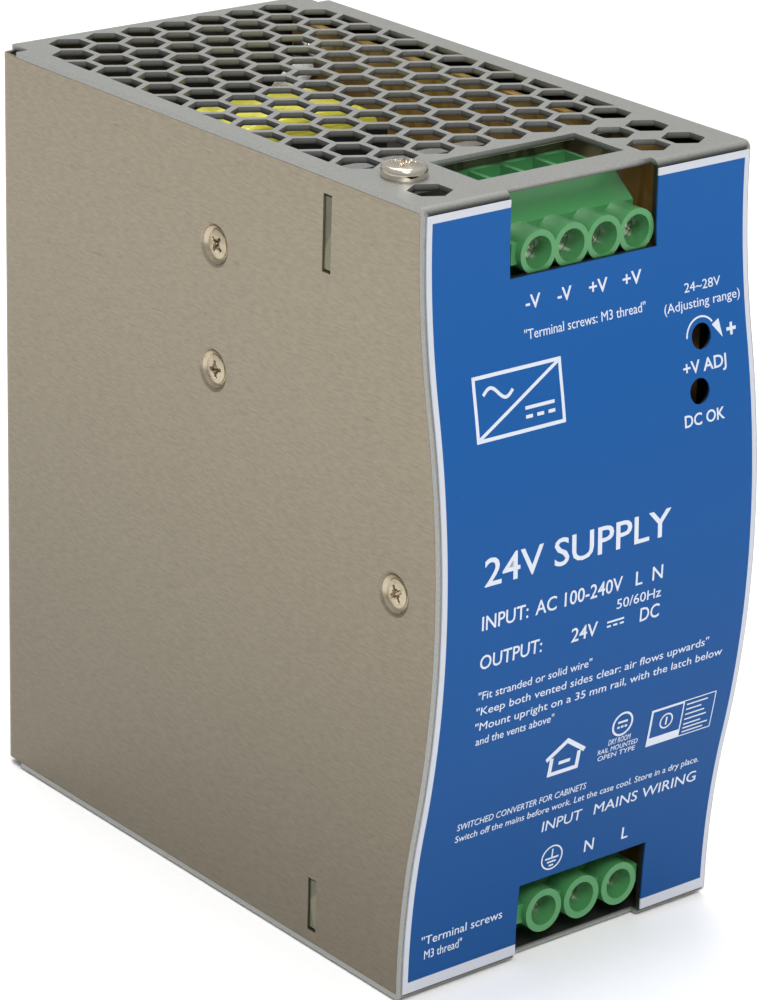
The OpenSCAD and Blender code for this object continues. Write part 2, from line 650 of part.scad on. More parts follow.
// Latch: a plate with a window for its spring, a tongue behind the rail's lower lip and a pull eye
module rail_latch() color([0.55, 0.56, 0.58]) {
    top = -rail_half - 0.2;
    back = rail_lip_t + hook_gap;
    difference() {
        box([-latch_half_w, latch_y, latch_bottom], [latch_half_w, latch_y + bracket_t, top]);
        box([-spring_r - 0.6, -1, spring_z[0] - 1 - latch_travel - 0.6], [spring_r + 0.6, 4, spring_z[1]]);
        box([-4, -1, latch_bottom + 2], [4, 4, latch_bottom + 4.5]);
    }
    translate([-latch_half_w, 0, 0]) along_x(2 * latch_half_w) polygon(
        [[latch_y, top - bracket_t], [latch_y, top], [back, top], [back, top + hook_reach + 0.2],
         [back + 0.4, top + hook_reach + 0.2], [back + bracket_t, top + 0.6],
         [back + bracket_t, top - bracket_t]]);
}

// Ring of points of a tube that winds up the spring, at a share of its length
function spring_ring(share) = let (a = 360 * spring_turns * share,
        rise = spring_z[0] + spring_wire / 2 + (spring_z[1] - spring_z[0] - spring_wire) * share)
    [for (k = [0:7]) let (b = 45 * k, r = spring_r - spring_wire / 2 + spring_wire / 2 * cos(b))
        [r * cos(a), bracket_t / 2 + latch_y + r * sin(a), rise + spring_wire / 2 * sin(b)]];
module latch_spring() color([0.6, 0.6, 0.6]) {
    rings = spring_turns * 20;
    points = [for (i = [0:rings]) each spring_ring(i / rings)];
    walls = [for (i = [0:rings - 1]) for (k = [0:7])
        [i * 8 + k, (i + 1) * 8 + k, (i + 1) * 8 + (k + 1) % 8, i * 8 + (k + 1) % 8]];
    polyhedron(points, concat(walls, [[for (k = [0:7]) k], [for (k = [7:-1:0]) rings * 8 + k]]));
}

vented_cover();
chassis();
front_label();
cover_screws();
left_screws();
right_screws();
insulating_sheet();
board_spacers();
board_screws();
main_board();
front_board();
output_terminal_housing();
input_terminal_housing();
output_contacts();
input_contacts();
output_screw_1();
output_screw_2();
output_screw_3();
output_screw_4();
input_screw_1();
input_screw_2();
input_screw_3();
output_clamp_1();
output_clamp_2();
output_clamp_3();
output_clamp_4();
input_clamp_1();
input_clamp_2();
input_clamp_3();
trimmer_body();
trimmer_rotor();
indicator_led();
transformer_core();
transformer_bobbin();
transformer_winding();
boost_choke_core();
boost_choke_winding();
line_choke_core();
line_choke_windings();
output_choke();
bulk_capacitor();
output_capacitors();
line_capacitors();
disc_capacitors();
surge_discs();
line_fuse();
bridge_rectifier();
output_heatsink();
input_heatsink();
output_rectifiers();
power_transistors();
package_screws();
control_chips();
lead_sleeve();
earth_strap();
rail_bracket();
bracket_rivets();
rail_latch();
latch_spring();
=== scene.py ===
"""Looks of a vented rail power supply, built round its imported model.

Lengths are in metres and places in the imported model's frame: +Z up, +Y back into the rail, +X right as seen
from the front, and the origin in the middle of the rail seat. Sizes inside the case are told in millimetres
from its left side, its front and its bottom, and the Case class turns them into places.
"""

import json
import logging
import math
from dataclasses import dataclass
from enum import Enum
from typing import Sequence

import bmesh
import bpy
import numpy as np
from mathutils import Matrix, Vector


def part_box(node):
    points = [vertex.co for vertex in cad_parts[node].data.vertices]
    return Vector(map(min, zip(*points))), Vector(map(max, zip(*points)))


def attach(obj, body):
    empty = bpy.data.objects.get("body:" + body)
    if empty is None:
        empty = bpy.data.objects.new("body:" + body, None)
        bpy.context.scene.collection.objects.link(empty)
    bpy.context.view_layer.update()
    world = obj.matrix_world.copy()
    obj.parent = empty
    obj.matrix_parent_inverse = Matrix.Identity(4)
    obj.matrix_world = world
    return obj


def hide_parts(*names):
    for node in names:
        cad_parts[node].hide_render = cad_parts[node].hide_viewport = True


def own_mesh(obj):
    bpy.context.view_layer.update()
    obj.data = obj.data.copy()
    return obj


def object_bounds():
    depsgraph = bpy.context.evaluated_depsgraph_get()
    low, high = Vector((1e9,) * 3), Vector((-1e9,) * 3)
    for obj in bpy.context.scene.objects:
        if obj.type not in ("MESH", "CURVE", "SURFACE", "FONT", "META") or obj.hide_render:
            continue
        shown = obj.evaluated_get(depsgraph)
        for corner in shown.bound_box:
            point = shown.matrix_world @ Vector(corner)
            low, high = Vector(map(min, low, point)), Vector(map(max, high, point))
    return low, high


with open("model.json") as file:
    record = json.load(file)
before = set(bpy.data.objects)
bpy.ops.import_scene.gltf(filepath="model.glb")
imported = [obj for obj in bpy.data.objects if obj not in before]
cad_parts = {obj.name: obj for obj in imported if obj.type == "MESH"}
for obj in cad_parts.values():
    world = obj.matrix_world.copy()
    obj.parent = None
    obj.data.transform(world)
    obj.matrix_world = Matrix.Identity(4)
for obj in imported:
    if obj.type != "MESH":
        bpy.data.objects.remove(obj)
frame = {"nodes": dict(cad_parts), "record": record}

CAD_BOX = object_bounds()
MM = 0.001
log = logging.getLogger("power_supply")

Array = np.ndarray
Colour = tuple[float, float, float]


# ---------------------------------------------------------------- places


@dataclass(frozen=True)
class Case:
    """The steel case, in millimetres from its left side, its flat front plane and its bottom."""

    width: float = 63.0
    height: float = 125.2
    depth: float = 107.0
    bracket: float = 1.5
    bulge: float = 6.2
    label_gap: float = 0.02
    label_thick: float = 0.25

    def place(self, points: Array) -> Array:
        """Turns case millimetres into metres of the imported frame.

        Args:
            points: Points as rows of x, y and z.

        Returns:
            The same points, moved to the case's place and scaled to metres.
        """
        corner = np.array([-self.width / 2, -self.depth - self.bracket, -self.height / 2])
        return (np.asarray(points, float) + corner) * MM

    def swell(self, z: Array) -> Array:
        """How far the front stands forward at height z: one round crown above, one round hollow below.

        Both arcs have the same chord slope where they meet at mid-height, so the front is one smooth S.

        Args:
            z: Heights in millimetres from the bottom.

        Returns:
            The distance in front of the flat plane, in millimetres.
        """
        angle = 2 * math.atan(self.bulge / 60.0)
        crown, hollow = 33 / math.sin(angle), 27 / math.sin(angle)
        d = np.abs(np.asarray(z, float) - self.height / 2)
        top = self.bulge - crown + np.sqrt(np.maximum(crown**2 - d**2, 0))
        low = hollow - np.sqrt(np.maximum(hollow**2 - (np.minimum(d, 60) - 60) ** 2, 0))
        return np.where(d < 33, top, low)


CASE = Case()


# ---------------------------------------------------------------- meshes


class Shape:
    """Numpy builders of closed surfaces, each a grid of points worked out as whole arrays."""

    @staticmethod
    def grid_faces(rows: int, columns: int, wrap: bool = False, start: int = 0) -> Array:
        """Quads between the neighbours of a grid of points stored row by row.

        Args:
            rows: Number of rows of points.
            columns: Number of points in a row.
            wrap: Whether the last column joins the first.
            start: Index of the grid's first point.

        Returns:
            One row of four indices for each face.
        """
        last = columns if wrap else columns - 1
        r, c = np.meshgrid(np.arange(rows - 1), np.arange(last), indexing="ij")
        n = (c + 1) % columns
        return np.stack([r * columns + c, r * columns + n, (r + 1) * columns + n, (r + 1) * columns + c],
                        -1).reshape(-1, 4) + start

    @staticmethod
    def revolve(profile: Sequence[Sequence[float]], steps: int = 48) -> tuple[Array, Array]:
        """Turns a profile round the Z axis: (r, z) becomes (r cos a, r sin a, z).

        The profile's first and last points lie on the axis, so the surface is closed.

        Args:
            profile: Radius and height of each point, from the bottom round to the top.
            steps: Number of steps round the axis.

        Returns:
            Points and faces.
        """
        p = np.asarray(profile, float)
        a = np.linspace(0, 2 * np.pi, steps, endpoint=False)
        ring = np.stack([np.outer(p[:, 0], np.cos(a)), np.outer(p[:, 0], np.sin(a)),
                         np.repeat(p[:, 1:2], steps, 1)], -1)
        return ring.reshape(-1, 3), Shape.grid_faces(len(p), steps, True)

    @staticmethod
    def tube(path: Array, radius: float, sides: int = 10, closed: bool = False) -> tuple[Array, Array]:
        """Carries a circle along a path: each point is path + radius (cos b side + sin b other).

        side and other are kept square to the path by carrying the first frame along it, ring by ring.

        Args:
            path: Points of the centre line.
            radius: Radius of the circle.
            sides: Number of sides of the circle.
            closed: Whether the path's end joins its start.

        Returns:
            Points and faces.
        """
        path = np.asarray(path, float)
        t = np.roll(path, -1, 0) - np.roll(path, 1, 0) if closed else np.gradient(path, axis=0)
        t /= np.linalg.norm(t, axis=1, keepdims=True)
        side = np.cross(t[0], [0.31, 0.52, 0.79])
        sides_along = []
        for direction in t:
            side = side - direction * (side @ direction)
            side = side / np.linalg.norm(side)
            sides_along.append(side)
        s = np.array(sides_along)
        o = np.cross(t, s)
        b = np.linspace(0, 2 * np.pi, sides, endpoint=False)
        spokes = np.cos(b)[None, :, None] * s[:, None] + np.sin(b)[None, :, None] * o[:, None]
        rings = path[:, None] + radius * spokes
        count = len(path)
        points, faces = rings.reshape(-1, 3), Shape.grid_faces(count, sides, True)
        if closed:
            back = np.arange(sides)
            seam = np.stack([(count - 1) * sides + back, (count - 1) * sides + (back + 1) % sides,
                             (back + 1) % sides, back], -1)
            return points, np.vstack([faces, seam])
        ends = np.vstack([path[0], path[-1]])
        points = np.vstack([points, ends])
        k = np.arange(sides)
        last = (count - 1) * sides
        low = np.stack([(k + 1) % sides, k, np.full(sides, len(points) - 2)], -1)
        top = np.stack([last + k, last + (k + 1) % sides, np.full(sides, len(points) - 1)], -1)
        caps = np.vstack([low, top])
        return points, np.vstack([faces, np.hstack([caps, caps[:, 2:]])])

    @staticmethod
    def turned(points: Array, turn: Matrix, move: Sequence[float]) -> Array:
        """Turns points by a matrix, then moves them."""
        return np.asarray(points) @ np.array(turn.to_3x3(), float).T + np.asarray(move, float)


class Workshop:
    """Makes Blender objects out of points and faces, and puts them on their bodies."""

    @staticmethod
    def mesh(name: str, parts: Sequence[tuple[Array, Array]], smooth: float | None = 35.0,
             ) -> bpy.types.Object:
        """Joins parts into one object, with doubles merged and faces turned outwards.

        Args:
            name: Name of the object.
            parts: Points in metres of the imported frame, and faces, of each part.
            smooth: Angle in degrees under which neighbouring faces shade smoothly, or None for flat faces.

        Returns:
            The object, at the origin, in the scene.
        """
        data = bpy.data.meshes.new(name)
        points, faces, start = [], [], 0
        for p, f in parts:
            points.append(p)
            faces.extend((np.asarray(f) + start).tolist() if isinstance(f, np.ndarray)
                         else [[i + start for i in face] for face in f])
            start += len(p)
        data.from_pydata(np.vstack(points).tolist(), [], [list(dict.fromkeys(face)) for face in faces])
        Workshop.clean(data)
        if smooth is not None:
            data.polygons.foreach_set("use_smooth", np.ones(len(data.polygons), bool))
            data.set_sharp_from_angle(angle=math.radians(smooth))
        made = bpy.data.objects.new(name, data)
        bpy.context.scene.collection.objects.link(made)
        return made

    @staticmethod
    def clean(data: bpy.types.Mesh) -> None:
        """Merges doubles of a mesh and turns its faces outwards."""
        bm = bmesh.new()
        bm.from_mesh(data)
        bmesh.ops.remove_doubles(bm, verts=bm.verts, dist=2e-7)
        bmesh.ops.dissolve_degenerate(bm, edges=bm.edges, dist=1e-8)
        bmesh.ops.recalc_face_normals(bm, faces=bm.faces)
        bm.to_mesh(data)
        bm.free()
        data.update()

    @staticmethod
    def fit(piece: bpy.types.Object, body: str, finish: "Finish", slot: str, *replaced: str) -> None:
        """Dresses a new piece, rides it on a body and lets it stand for CAD nodes.

        Args:
            piece: The new object.
            body: Body that it moves with.
            finish: Finish of its whole surface.
            slot: The record's material slot; not used.
            replaced: CAD nodes that it stands for.
        """
        piece.data.materials.append(finish.material())
        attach(piece, body)
        if replaced:
            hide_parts(*replaced)
        log.info("%s rides on %s, %d faces", piece.name, body, len(piece.data.polygons))


# ---------------------------------------------------------------- finishes


class Blend(Enum):
    """Ways in which two colours are put together."""

    MIX = "MIX"
    MULTIPLY = "MULTIPLY"


class Shader:
    """A material's node tree while it is put together round one Principled shader."""

    def __init__(self, name: str) -> None:
        """Starts an empty material with its shader and its object coordinates."""
        self.material = bpy.data.materials.new(name)
        self.material.use_nodes = True
        self.tree = self.material.node_tree
        self.tree.nodes.clear()
        self.bsdf = self.node("ShaderNodeBsdfPrincipled")
        out = self.node("ShaderNodeOutputMaterial")
        self.tree.links.new(self.bsdf.outputs[0], out.inputs["Surface"])
        self.coords = self.node("ShaderNodeTexCoord").outputs["Object"]

    def node(self, kind: str, **settings: object) -> bpy.types.Node:
        """Adds a node and gives its properties their values."""
        made = self.tree.nodes.new(kind)
        for name, value in settings.items():
            setattr(made, name, value)
        return made

    def put(self, value: object, socket: bpy.types.NodeSocket) -> None:
        """Links a socket, or sets the value of one."""
        if isinstance(value, bpy.types.NodeSocket):
            self.tree.links.new(value, socket)
        elif isinstance(value, tuple) and len(value) == 3 and socket.type == "RGBA":
            socket.default_value = (*value, 1.0)
        else:
            socket.default_value = value

    def set(self, **sockets: object) -> None:
        """Sets or links sockets of the shader, named with underscores for spaces."""
        for name, value in sockets.items():
            self.put(value, self.bsdf.inputs[name.replace("_", " ").title().replace("Ior", "IOR")])

    def mapped(self, scale: Sequence[float] = (1, 1, 1), turn: Sequence[float] = (0, 0, 0),
               move: Sequence[float] = (0, 0, 0)) -> bpy.types.NodeSocket:
        """Object coordinates after a Mapping node."""
        m = self.node("ShaderNodeMapping")
        m.inputs["Scale"].default_value = tuple(scale)
        m.inputs["Rotation"].default_value = tuple(turn)
        m.inputs["Location"].default_value = tuple(move)
        self.tree.links.new(self.coords, m.inputs["Vector"])
        return m.outputs[0]

    def noise(self, scale: float, detail: float = 3.0, rough: float = 0.55,
              stretch: Sequence[float] = (1, 1, 1)) -> bpy.types.NodeSocket:
        """Soft noise, with its grain drawn out along an axis where stretch is below 1.

        Args:
            scale: Grains per metre.
            detail: Octaves.
            rough: How strong the fine octaves are.
            stretch: Factor on each axis of the coordinates.

        Returns:
            The noise, from 0 to 1.
        """
        n = self.node("ShaderNodeTexNoise")
        n.inputs["Scale"].default_value = scale
        n.inputs["Detail"].default_value = detail
        n.inputs["Roughness"].default_value = rough
        self.tree.links.new(self.mapped(stretch), n.inputs["Vector"])
        return n.outputs["Fac"]

    def cells(self, scale: float, stretch: Sequence[float] = (1, 1, 1)) -> bpy.types.NodeSocket:
        """Voronoi cells, as distance to the nearest border between two of them."""
        v = self.node("ShaderNodeTexVoronoi", feature="DISTANCE_TO_EDGE")
        v.inputs["Scale"].default_value = scale
        self.tree.links.new(self.mapped(stretch), v.inputs["Vector"])
        return v.outputs["Distance"]

    def wave(self, scale: float, axis: str, distortion: float = 0.0) -> bpy.types.NodeSocket:
        """Straight bands across one axis."""
        w = self.node("ShaderNodeTexWave", bands_direction=axis)
        w.inputs["Scale"].default_value = scale
        w.inputs["Distortion"].default_value = distortion
        self.tree.links.new(self.coords, w.inputs["Vector"])
        return w.outputs["Fac"]

    def axis(self, name: str) -> bpy.types.NodeSocket:
        """One object coordinate."""
        s = self.node("ShaderNodeSeparateXYZ")
        self.tree.links.new(self.coords, s.inputs[0])
        return s.outputs[name]

    def math(self, operation: str, a: object, b: object = 0.0, clamp: bool = False) -> bpy.types.NodeSocket:
        """One sum."""
        m = self.node("ShaderNodeMath", operation=operation, use_clamp=clamp)
        self.put(a, m.inputs[0])
        self.put(b, m.inputs[1])
        return m.outputs[0]

    def reach(self, value: bpy.types.NodeSocket, low: float, high: float,
              to: tuple[float, float] = (0.0, 1.0)) -> bpy.types.NodeSocket:
        """Maps a range of values smoothly to another."""
        m = self.node("ShaderNodeMapRange", interpolation_type="SMOOTHSTEP")
        self.put(value, m.inputs["Value"])
        m.inputs["From Min"].default_value, m.inputs["From Max"].default_value = low, high
        m.inputs["To Min"].default_value, m.inputs["To Max"].default_value = to
        return m.outputs[0]

    def fall(self, amount: float) -> bpy.types.NodeSocket:
        """A factor that grows from 1 - amount below the case's bottom to 1 + amount above its top: painted
        light above, painted shade below.
        """
        return self.reach(self.axis("Z"), -0.066, 0.066, (1 - amount, 1 + amount))

    def mix(self, factor: object, a: object, b: object, way: Blend = Blend.MIX) -> bpy.types.NodeSocket:
        """Puts two colours together."""
        m = self.node("ShaderNodeMix", data_type="RGBA", blend_type=way.value)
        for value, i in ((factor, 0), (a, 6), (b, 7)):
            self.put(value, m.inputs[i])
        return m.outputs[2]

    def bump(self, height: bpy.types.NodeSocket, depth: float, under: bpy.types.NodeSocket | None = None,
             ) -> bpy.types.NodeSocket:
        """Normal of a relief whose full height is depth metres."""
        b = self.node("ShaderNodeBump")
        b.inputs["Strength"].default_value = 1.0
        b.inputs["Distance"].default_value = depth
        self.put(height, b.inputs["Height"])
        if under is not None:
            self.put(under, b.inputs["Normal"])
        return b.outputs[0]


def tone(colour: Colour, factor: float) -> Colour:
    """A colour made lighter or darker."""
    return tuple(min(1.0, c * factor) for c in colour)


class Finish:
    """A finish that makes its material once."""

    made: dict[object, bpy.types.Material] = {}

    def material(self) -> bpy.types.Material:
        """The finish's material, made on first use."""
        if self not in Finish.made:
            Finish.made[self] = self.make()
        return Finish.made[self]

    def make(self) -> bpy.types.Material:
        """Builds the node tree."""
        raise NotImplementedError


@dataclass(frozen=True)
class SheetSteel(Finish):
    """Sheet steel: fine speckle, a grain drawn out along one axis, cloudy patches and faint scuffs, and where
    set, painted light from above and painted shade on inner faces.
    """

    name: str
    colour: Colour
    rough: float = 0.42
    metal: float = 0.85
    grain: tuple[float, float, float] = (1.0, 1.0, 1.0)
    grain_scale: float = 2600.0
    grain_depth: float = 1.2e-6
    grain_tone: float = 0.10
    cloud_tone: float = 0.06
    # strength of the painted light: lighter towards the case's top, darker towards its bottom
    fall: float = 0.0
    # factor on the colour of faces deep in the case: painted shade, 1 for none
    inside: float = 1.0

    def make(self) -> bpy.types.Material:
        """Colour from cloud and grain; roughness and relief from the same grain."""
        s = Shader(self.name)
        grain = s.noise(self.grain_scale, 4.0, 0.6, self.grain)
        fine = s.noise(self.grain_scale * 2.4, 2.0, 0.5, self.grain)
        cloud = s.noise(38.0, 3.0, 0.5)
        scuff = s.reach(s.noise(640.0, 5.0, 0.8, self.grain), 0.61, 0.70)
        colour = s.mix(cloud, tone(self.colour, 1 - self.cloud_tone), tone(self.colour, 1 + self.cloud_tone))
        light = s.reach(grain, 0.25, 0.75, (1 - self.grain_tone, 1 + self.grain_tone))
        colour = s.mix(1.0, colour, light, Blend.MULTIPLY)
        # Painted light: colour made lighter towards the top of the case and darker towards its bottom.
        if self.fall:
            colour = s.mix(1.0, colour, s.fall(self.fall), Blend.MULTIPLY)
        colour = s.mix(s.math("MULTIPLY", scuff, 0.35), colour, tone(self.colour, 0.62))
        # Painted shade: faces deep inside the case darkened by their depth.
        if self.inside < 1:
            dull = s.reach(self.depth_in(s), 2e-4, 1.1e-3, (1.0, self.inside))
            colour = s.mix(1.0, colour, dull, Blend.MULTIPLY)
        rough = s.math("ADD", s.reach(fine, 0.2, 0.8, (self.rough - 0.05, self.rough + 0.06)),
                       s.math("MULTIPLY", cloud, 0.05))
        s.set(base_color=colour, roughness=rough, metallic=self.metal,
              normal=s.bump(grain, self.grain_depth, s.bump(fine, self.grain_depth * 0.6)))
        return s.material


    @staticmethod
    def depth_in(s: Shader) -> bpy.types.NodeSocket:
        """How deep a point lies in the case: its least distance to a side. Faces deep inside get painted
        shade from it.
        """
        low = CASE.place(np.array([0, 0, 0]))
        high = CASE.place(np.array([CASE.width, CASE.depth, CASE.height]))
        deep = s.math("SUBTRACT", float(high[1]), s.axis("Y"))
        for name, i in (("X", 0), ("Z", 2)):
            deep = s.math("MINIMUM", deep, s.math("SUBTRACT", s.axis(name), float(low[i])))
            deep = s.math("MINIMUM", deep, s.math("SUBTRACT", float(high[i]), s.axis(name)))
        return deep


@dataclass(frozen=True)
class Label(Finish):
    """Printed film: a blue field inside a pale border, with a fine print grain and painted light that makes
    the blue lighter above and darker below.
    """

    name: str = "label_film"
    blue: Colour = (0.008, 0.074, 0.252)
    # strength of the painted light on the blue field
    fall: float = 0.15
    border: Colour = (0.50, 0.52, 0.57)
    left: float = 1.3
    right: float = 61.75
    low: float = 3.0
    high: float = 122.9

    def make(self) -> bpy.types.Material:
        """The border is where a point lies outside the printed field, told by its X and Z."""
        s = Shader(self.name)
        low = CASE.place(np.array([self.left, 0, self.low]))
        high = CASE.place(np.array([self.right, 0, self.high]))
        edges = [s.math("SUBTRACT", s.axis("X"), float(low[0])),
                 s.math("SUBTRACT", float(high[0]), s.axis("X")),
                 s.math("SUBTRACT", s.axis("Z"), float(low[2])),
                 s.math("SUBTRACT", float(high[2]), s.axis("Z"))]
        inside = edges[0]
        for edge in edges[1:]:
            inside = s.math("MINIMUM", inside, edge)
        field_mask = s.reach(inside, -3e-5, 3e-5)
        print_grain = s.noise(5200.0, 2.0, 0.6)
        speck = s.reach(s.noise(1500.0, 4.0, 0.8), 0.70, 0.76)
        ink = s.mix(print_grain, tone(self.blue, 0.90), tone(self.blue, 1.10))
        ink = s.mix(s.math("MULTIPLY", speck, 0.12), ink, tone(self.border, 0.9))
        # Painted light on the ink: lighter towards the top of the case, darker towards its bottom.
        ink = s.mix(1.0, ink, s.fall(self.fall), Blend.MULTIPLY)
        pale = s.mix(print_grain, tone(self.border, 0.97), tone(self.border, 1.03))
        s.set(base_color=s.mix(field_mask, pale, ink), roughness=s.reach(print_grain, 0.2, 0.8, (0.36, 0.48)),
              specular_ior_level=0.1,
              normal=s.bump(s.noise(900.0, 3.0, 0.6), 1.5e-6))
        return s.material


@dataclass(frozen=True)
class Plastic(Finish):
    """Moulded plastic: faint flow clouds, spark-eroded micro texture and dust-dull patches."""

    name: str
    colour: Colour
    rough: float = 0.42
    texture: float = 2.5e-6
    scale: float = 2200.0
    vary: float = 0.10
    coat: float = 0.0
    glow: float = 0.0

    def make(self) -> bpy.types.Material:
        """Colour clouds in two sizes, with roughness and relief from a fine noise."""
        s = Shader(self.name)
        cloud, fine = s.noise(90.0, 3.0, 0.5), s.noise(self.scale, 3.0, 0.6)
        colour = s.mix(cloud, tone(self.colour, 1 - self.vary), tone(self.colour, 1 + self.vary))
        colour = s.mix(s.reach(fine, 0.35, 0.75), colour, tone(self.colour, 1 + self.vary * 0.8))
        s.set(base_color=colour, roughness=s.reach(fine, 0.2, 0.8, (self.rough - 0.06, self.rough + 0.08)),
              coat_weight=self.coat, coat_roughness=0.15, subsurface_weight=self.glow,
              normal=s.bump(fine, self.texture))
        if self.glow:
            s.bsdf.inputs["Subsurface Radius"].default_value = (0.0006, 0.0008, 0.0004)
            s.bsdf.inputs["Subsurface Scale"].default_value = 0.6
        return s.material


@dataclass(frozen=True)
class Plate(Finish):
    """Plated or bare metal of small parts: rub marks, and stains and tarnish in patches of a coarse noise."""

    name: str
    colour: Colour
    rough: float = 0.22
    stain: Colour = (0.25, 0.16, 0.08)
    stained: float = 0.25
    scale: float = 1400.0

    def make(self) -> bpy.types.Material:
        """Metal colour with stain where a coarse noise is high; roughness from a fine one."""
        s = Shader(self.name)
        coarse, fine = s.noise(self.scale * 0.35, 4.0, 0.65), s.noise(self.scale, 3.0, 0.6)
        rub = s.noise(self.scale, 3.0, 0.6, (1.0, 0.12, 1.0))
        mask = s.math("MULTIPLY", s.reach(coarse, 0.52, 0.78), self.stained)
        colour = s.mix(mask, s.mix(fine, tone(self.colour, 0.9), tone(self.colour, 1.08)), self.stain)
        s.set(base_color=colour, metallic=1.0,
              roughness=s.math("ADD", s.reach(rub, 0.25, 0.8, (self.rough - 0.06, self.rough + 0.10)), mask),
              normal=s.bump(rub, 1.2e-6))
        return s.material


@dataclass(frozen=True)
class Laminate(Finish):
    """Circuit board: paper laminate with weave, lighter traces under the lacquer and flux stains."""

    name: str = "circuit_board"
    colour: Colour = (0.26, 0.145, 0.03)
    trace: Colour = (0.34, 0.215, 0.06)
    stain: Colour = (0.06, 0.03, 0.008)

    def make(self) -> bpy.types.Material:
        """Traces are cells drawn out along the board's length, cut by a threshold."""
        s = Shader(self.name)
        across = s.math("ADD", s.wave(900.0, "Y", 0.4), s.wave(900.0, "X", 0.4))
        weave = s.math("MULTIPLY", s.wave(900.0, "Z", 0.4), across)
        cells = s.cells(150.0, (1.0, 1.0, 0.45))
        trace = s.reach(cells, 0.05, 0.09)
        colour = s.mix(trace, self.colour, self.trace)
        colour = s.mix(s.math("MULTIPLY", weave, 0.18), colour, tone(self.colour, 0.6))
        stained = s.math("MULTIPLY", s.reach(s.noise(60.0, 4.0, 0.7), 0.5, 0.75), 0.5)
        colour = s.mix(stained, colour, self.stain)
        s.set(base_color=colour, roughness=s.reach(s.noise(700.0, 3.0), 0.2, 0.8, (0.32, 0.5)),
              coat_weight=0.25, coat_roughness=0.25,
              normal=s.bump(trace, 1.2e-5, s.bump(weave, 4e-6)))
        return s.material


@dataclass(frozen=True)
class Tape(Finish):
    """Polyester tape round a winding: overlapping turns, a glossy face and creases."""

    name: str = "winding_tape"
    colour: Colour = (0.74, 0.69, 0.07)
    under: Colour = (0.30, 0.16, 0.03)

    def make(self) -> bpy.types.Material:
        """Creases come from stretched noise, and the wire shows faintly as fine ribs."""
        s = Shader(self.name)
        ribs, crease = s.wave(420.0, "Z", 1.2), s.noise(260.0, 4.0, 0.6, (0.5, 1.0, 2.0))
        colour = s.mix(s.math("MULTIPLY", ribs, 0.18), self.colour, self.under)
        colour = s.mix(s.reach(crease, 0.45, 0.7), colour, tone(self.colour, 1.25))
        s.set(base_color=colour, roughness=s.reach(crease, 0.3, 0.7, (0.2, 0.36)), coat_weight=0.4,
              coat_roughness=0.12, normal=s.bump(crease, 8e-5, s.bump(ribs, 3e-5)))
        return s.material


@dataclass(frozen=True)
class Braid(Finish):
    """Woven glass sleeve: two crossing sets of strands."""

    name: str = "sleeve"
    colour: Colour = (0.74, 0.73, 0.70)

    def make(self) -> bpy.types.Material:
        """The weave is the product of two diagonal bands."""
        s = Shader(self.name)
        bands = []
        for side in (0.8, -0.8):
            w = s.node("ShaderNodeTexWave", bands_direction="X")
            w.inputs["Scale"].default_value = 700.0
            s.tree.links.new(s.mapped((1, 1, 1), (side, side, 0.9)), w.inputs["Vector"])
            bands.append(w.outputs["Fac"])
        weave = s.math("MULTIPLY", bands[0], bands[1])
        s.set(base_color=s.mix(weave, tone(self.colour, 0.72), self.colour), roughness=0.85, sheen_weight=0.3,
              normal=s.bump(weave, 8e-5))
        return s.material


@dataclass(frozen=True)
class Lens(Finish):
    """Diffused lamp lens: milky green with a soft inner glow of the cup."""

    name: str = "lamp_lens"
    colour: Colour = (0.30, 0.52, 0.26)

    def make(self) -> bpy.types.Material:
        """Part-clear plastic with a cloudy body."""
        s = Shader(self.name)
        cloud = s.noise(800.0, 2.0)
        s.set(base_color=s.mix(cloud, tone(self.colour, 0.8), tone(self.colour, 1.2)),
              roughness=s.reach(cloud, 0.2, 0.8, (0.12, 0.25)), transmission_weight=0.35, coat_weight=0.5,
              normal=s.bump(cloud, 2e-6))
        return s.material


@dataclass(frozen=True)
class Studio(Finish):
    """Matt studio floor with a barely seen paper grain."""

    name: str = "studio_floor"
    colour: Colour = (0.94, 0.94, 0.94)

    def make(self) -> bpy.types.Material:
        """Paper grain in the colour."""
        s = Shader(self.name)
        grain = s.noise(300.0, 3.0)
        s.set(base_color=s.mix(grain, tone(self.colour, 0.99), tone(self.colour, 1.01)),
              roughness=s.reach(grain, 0.2, 0.8, (0.85, 0.95)))
        return s.material


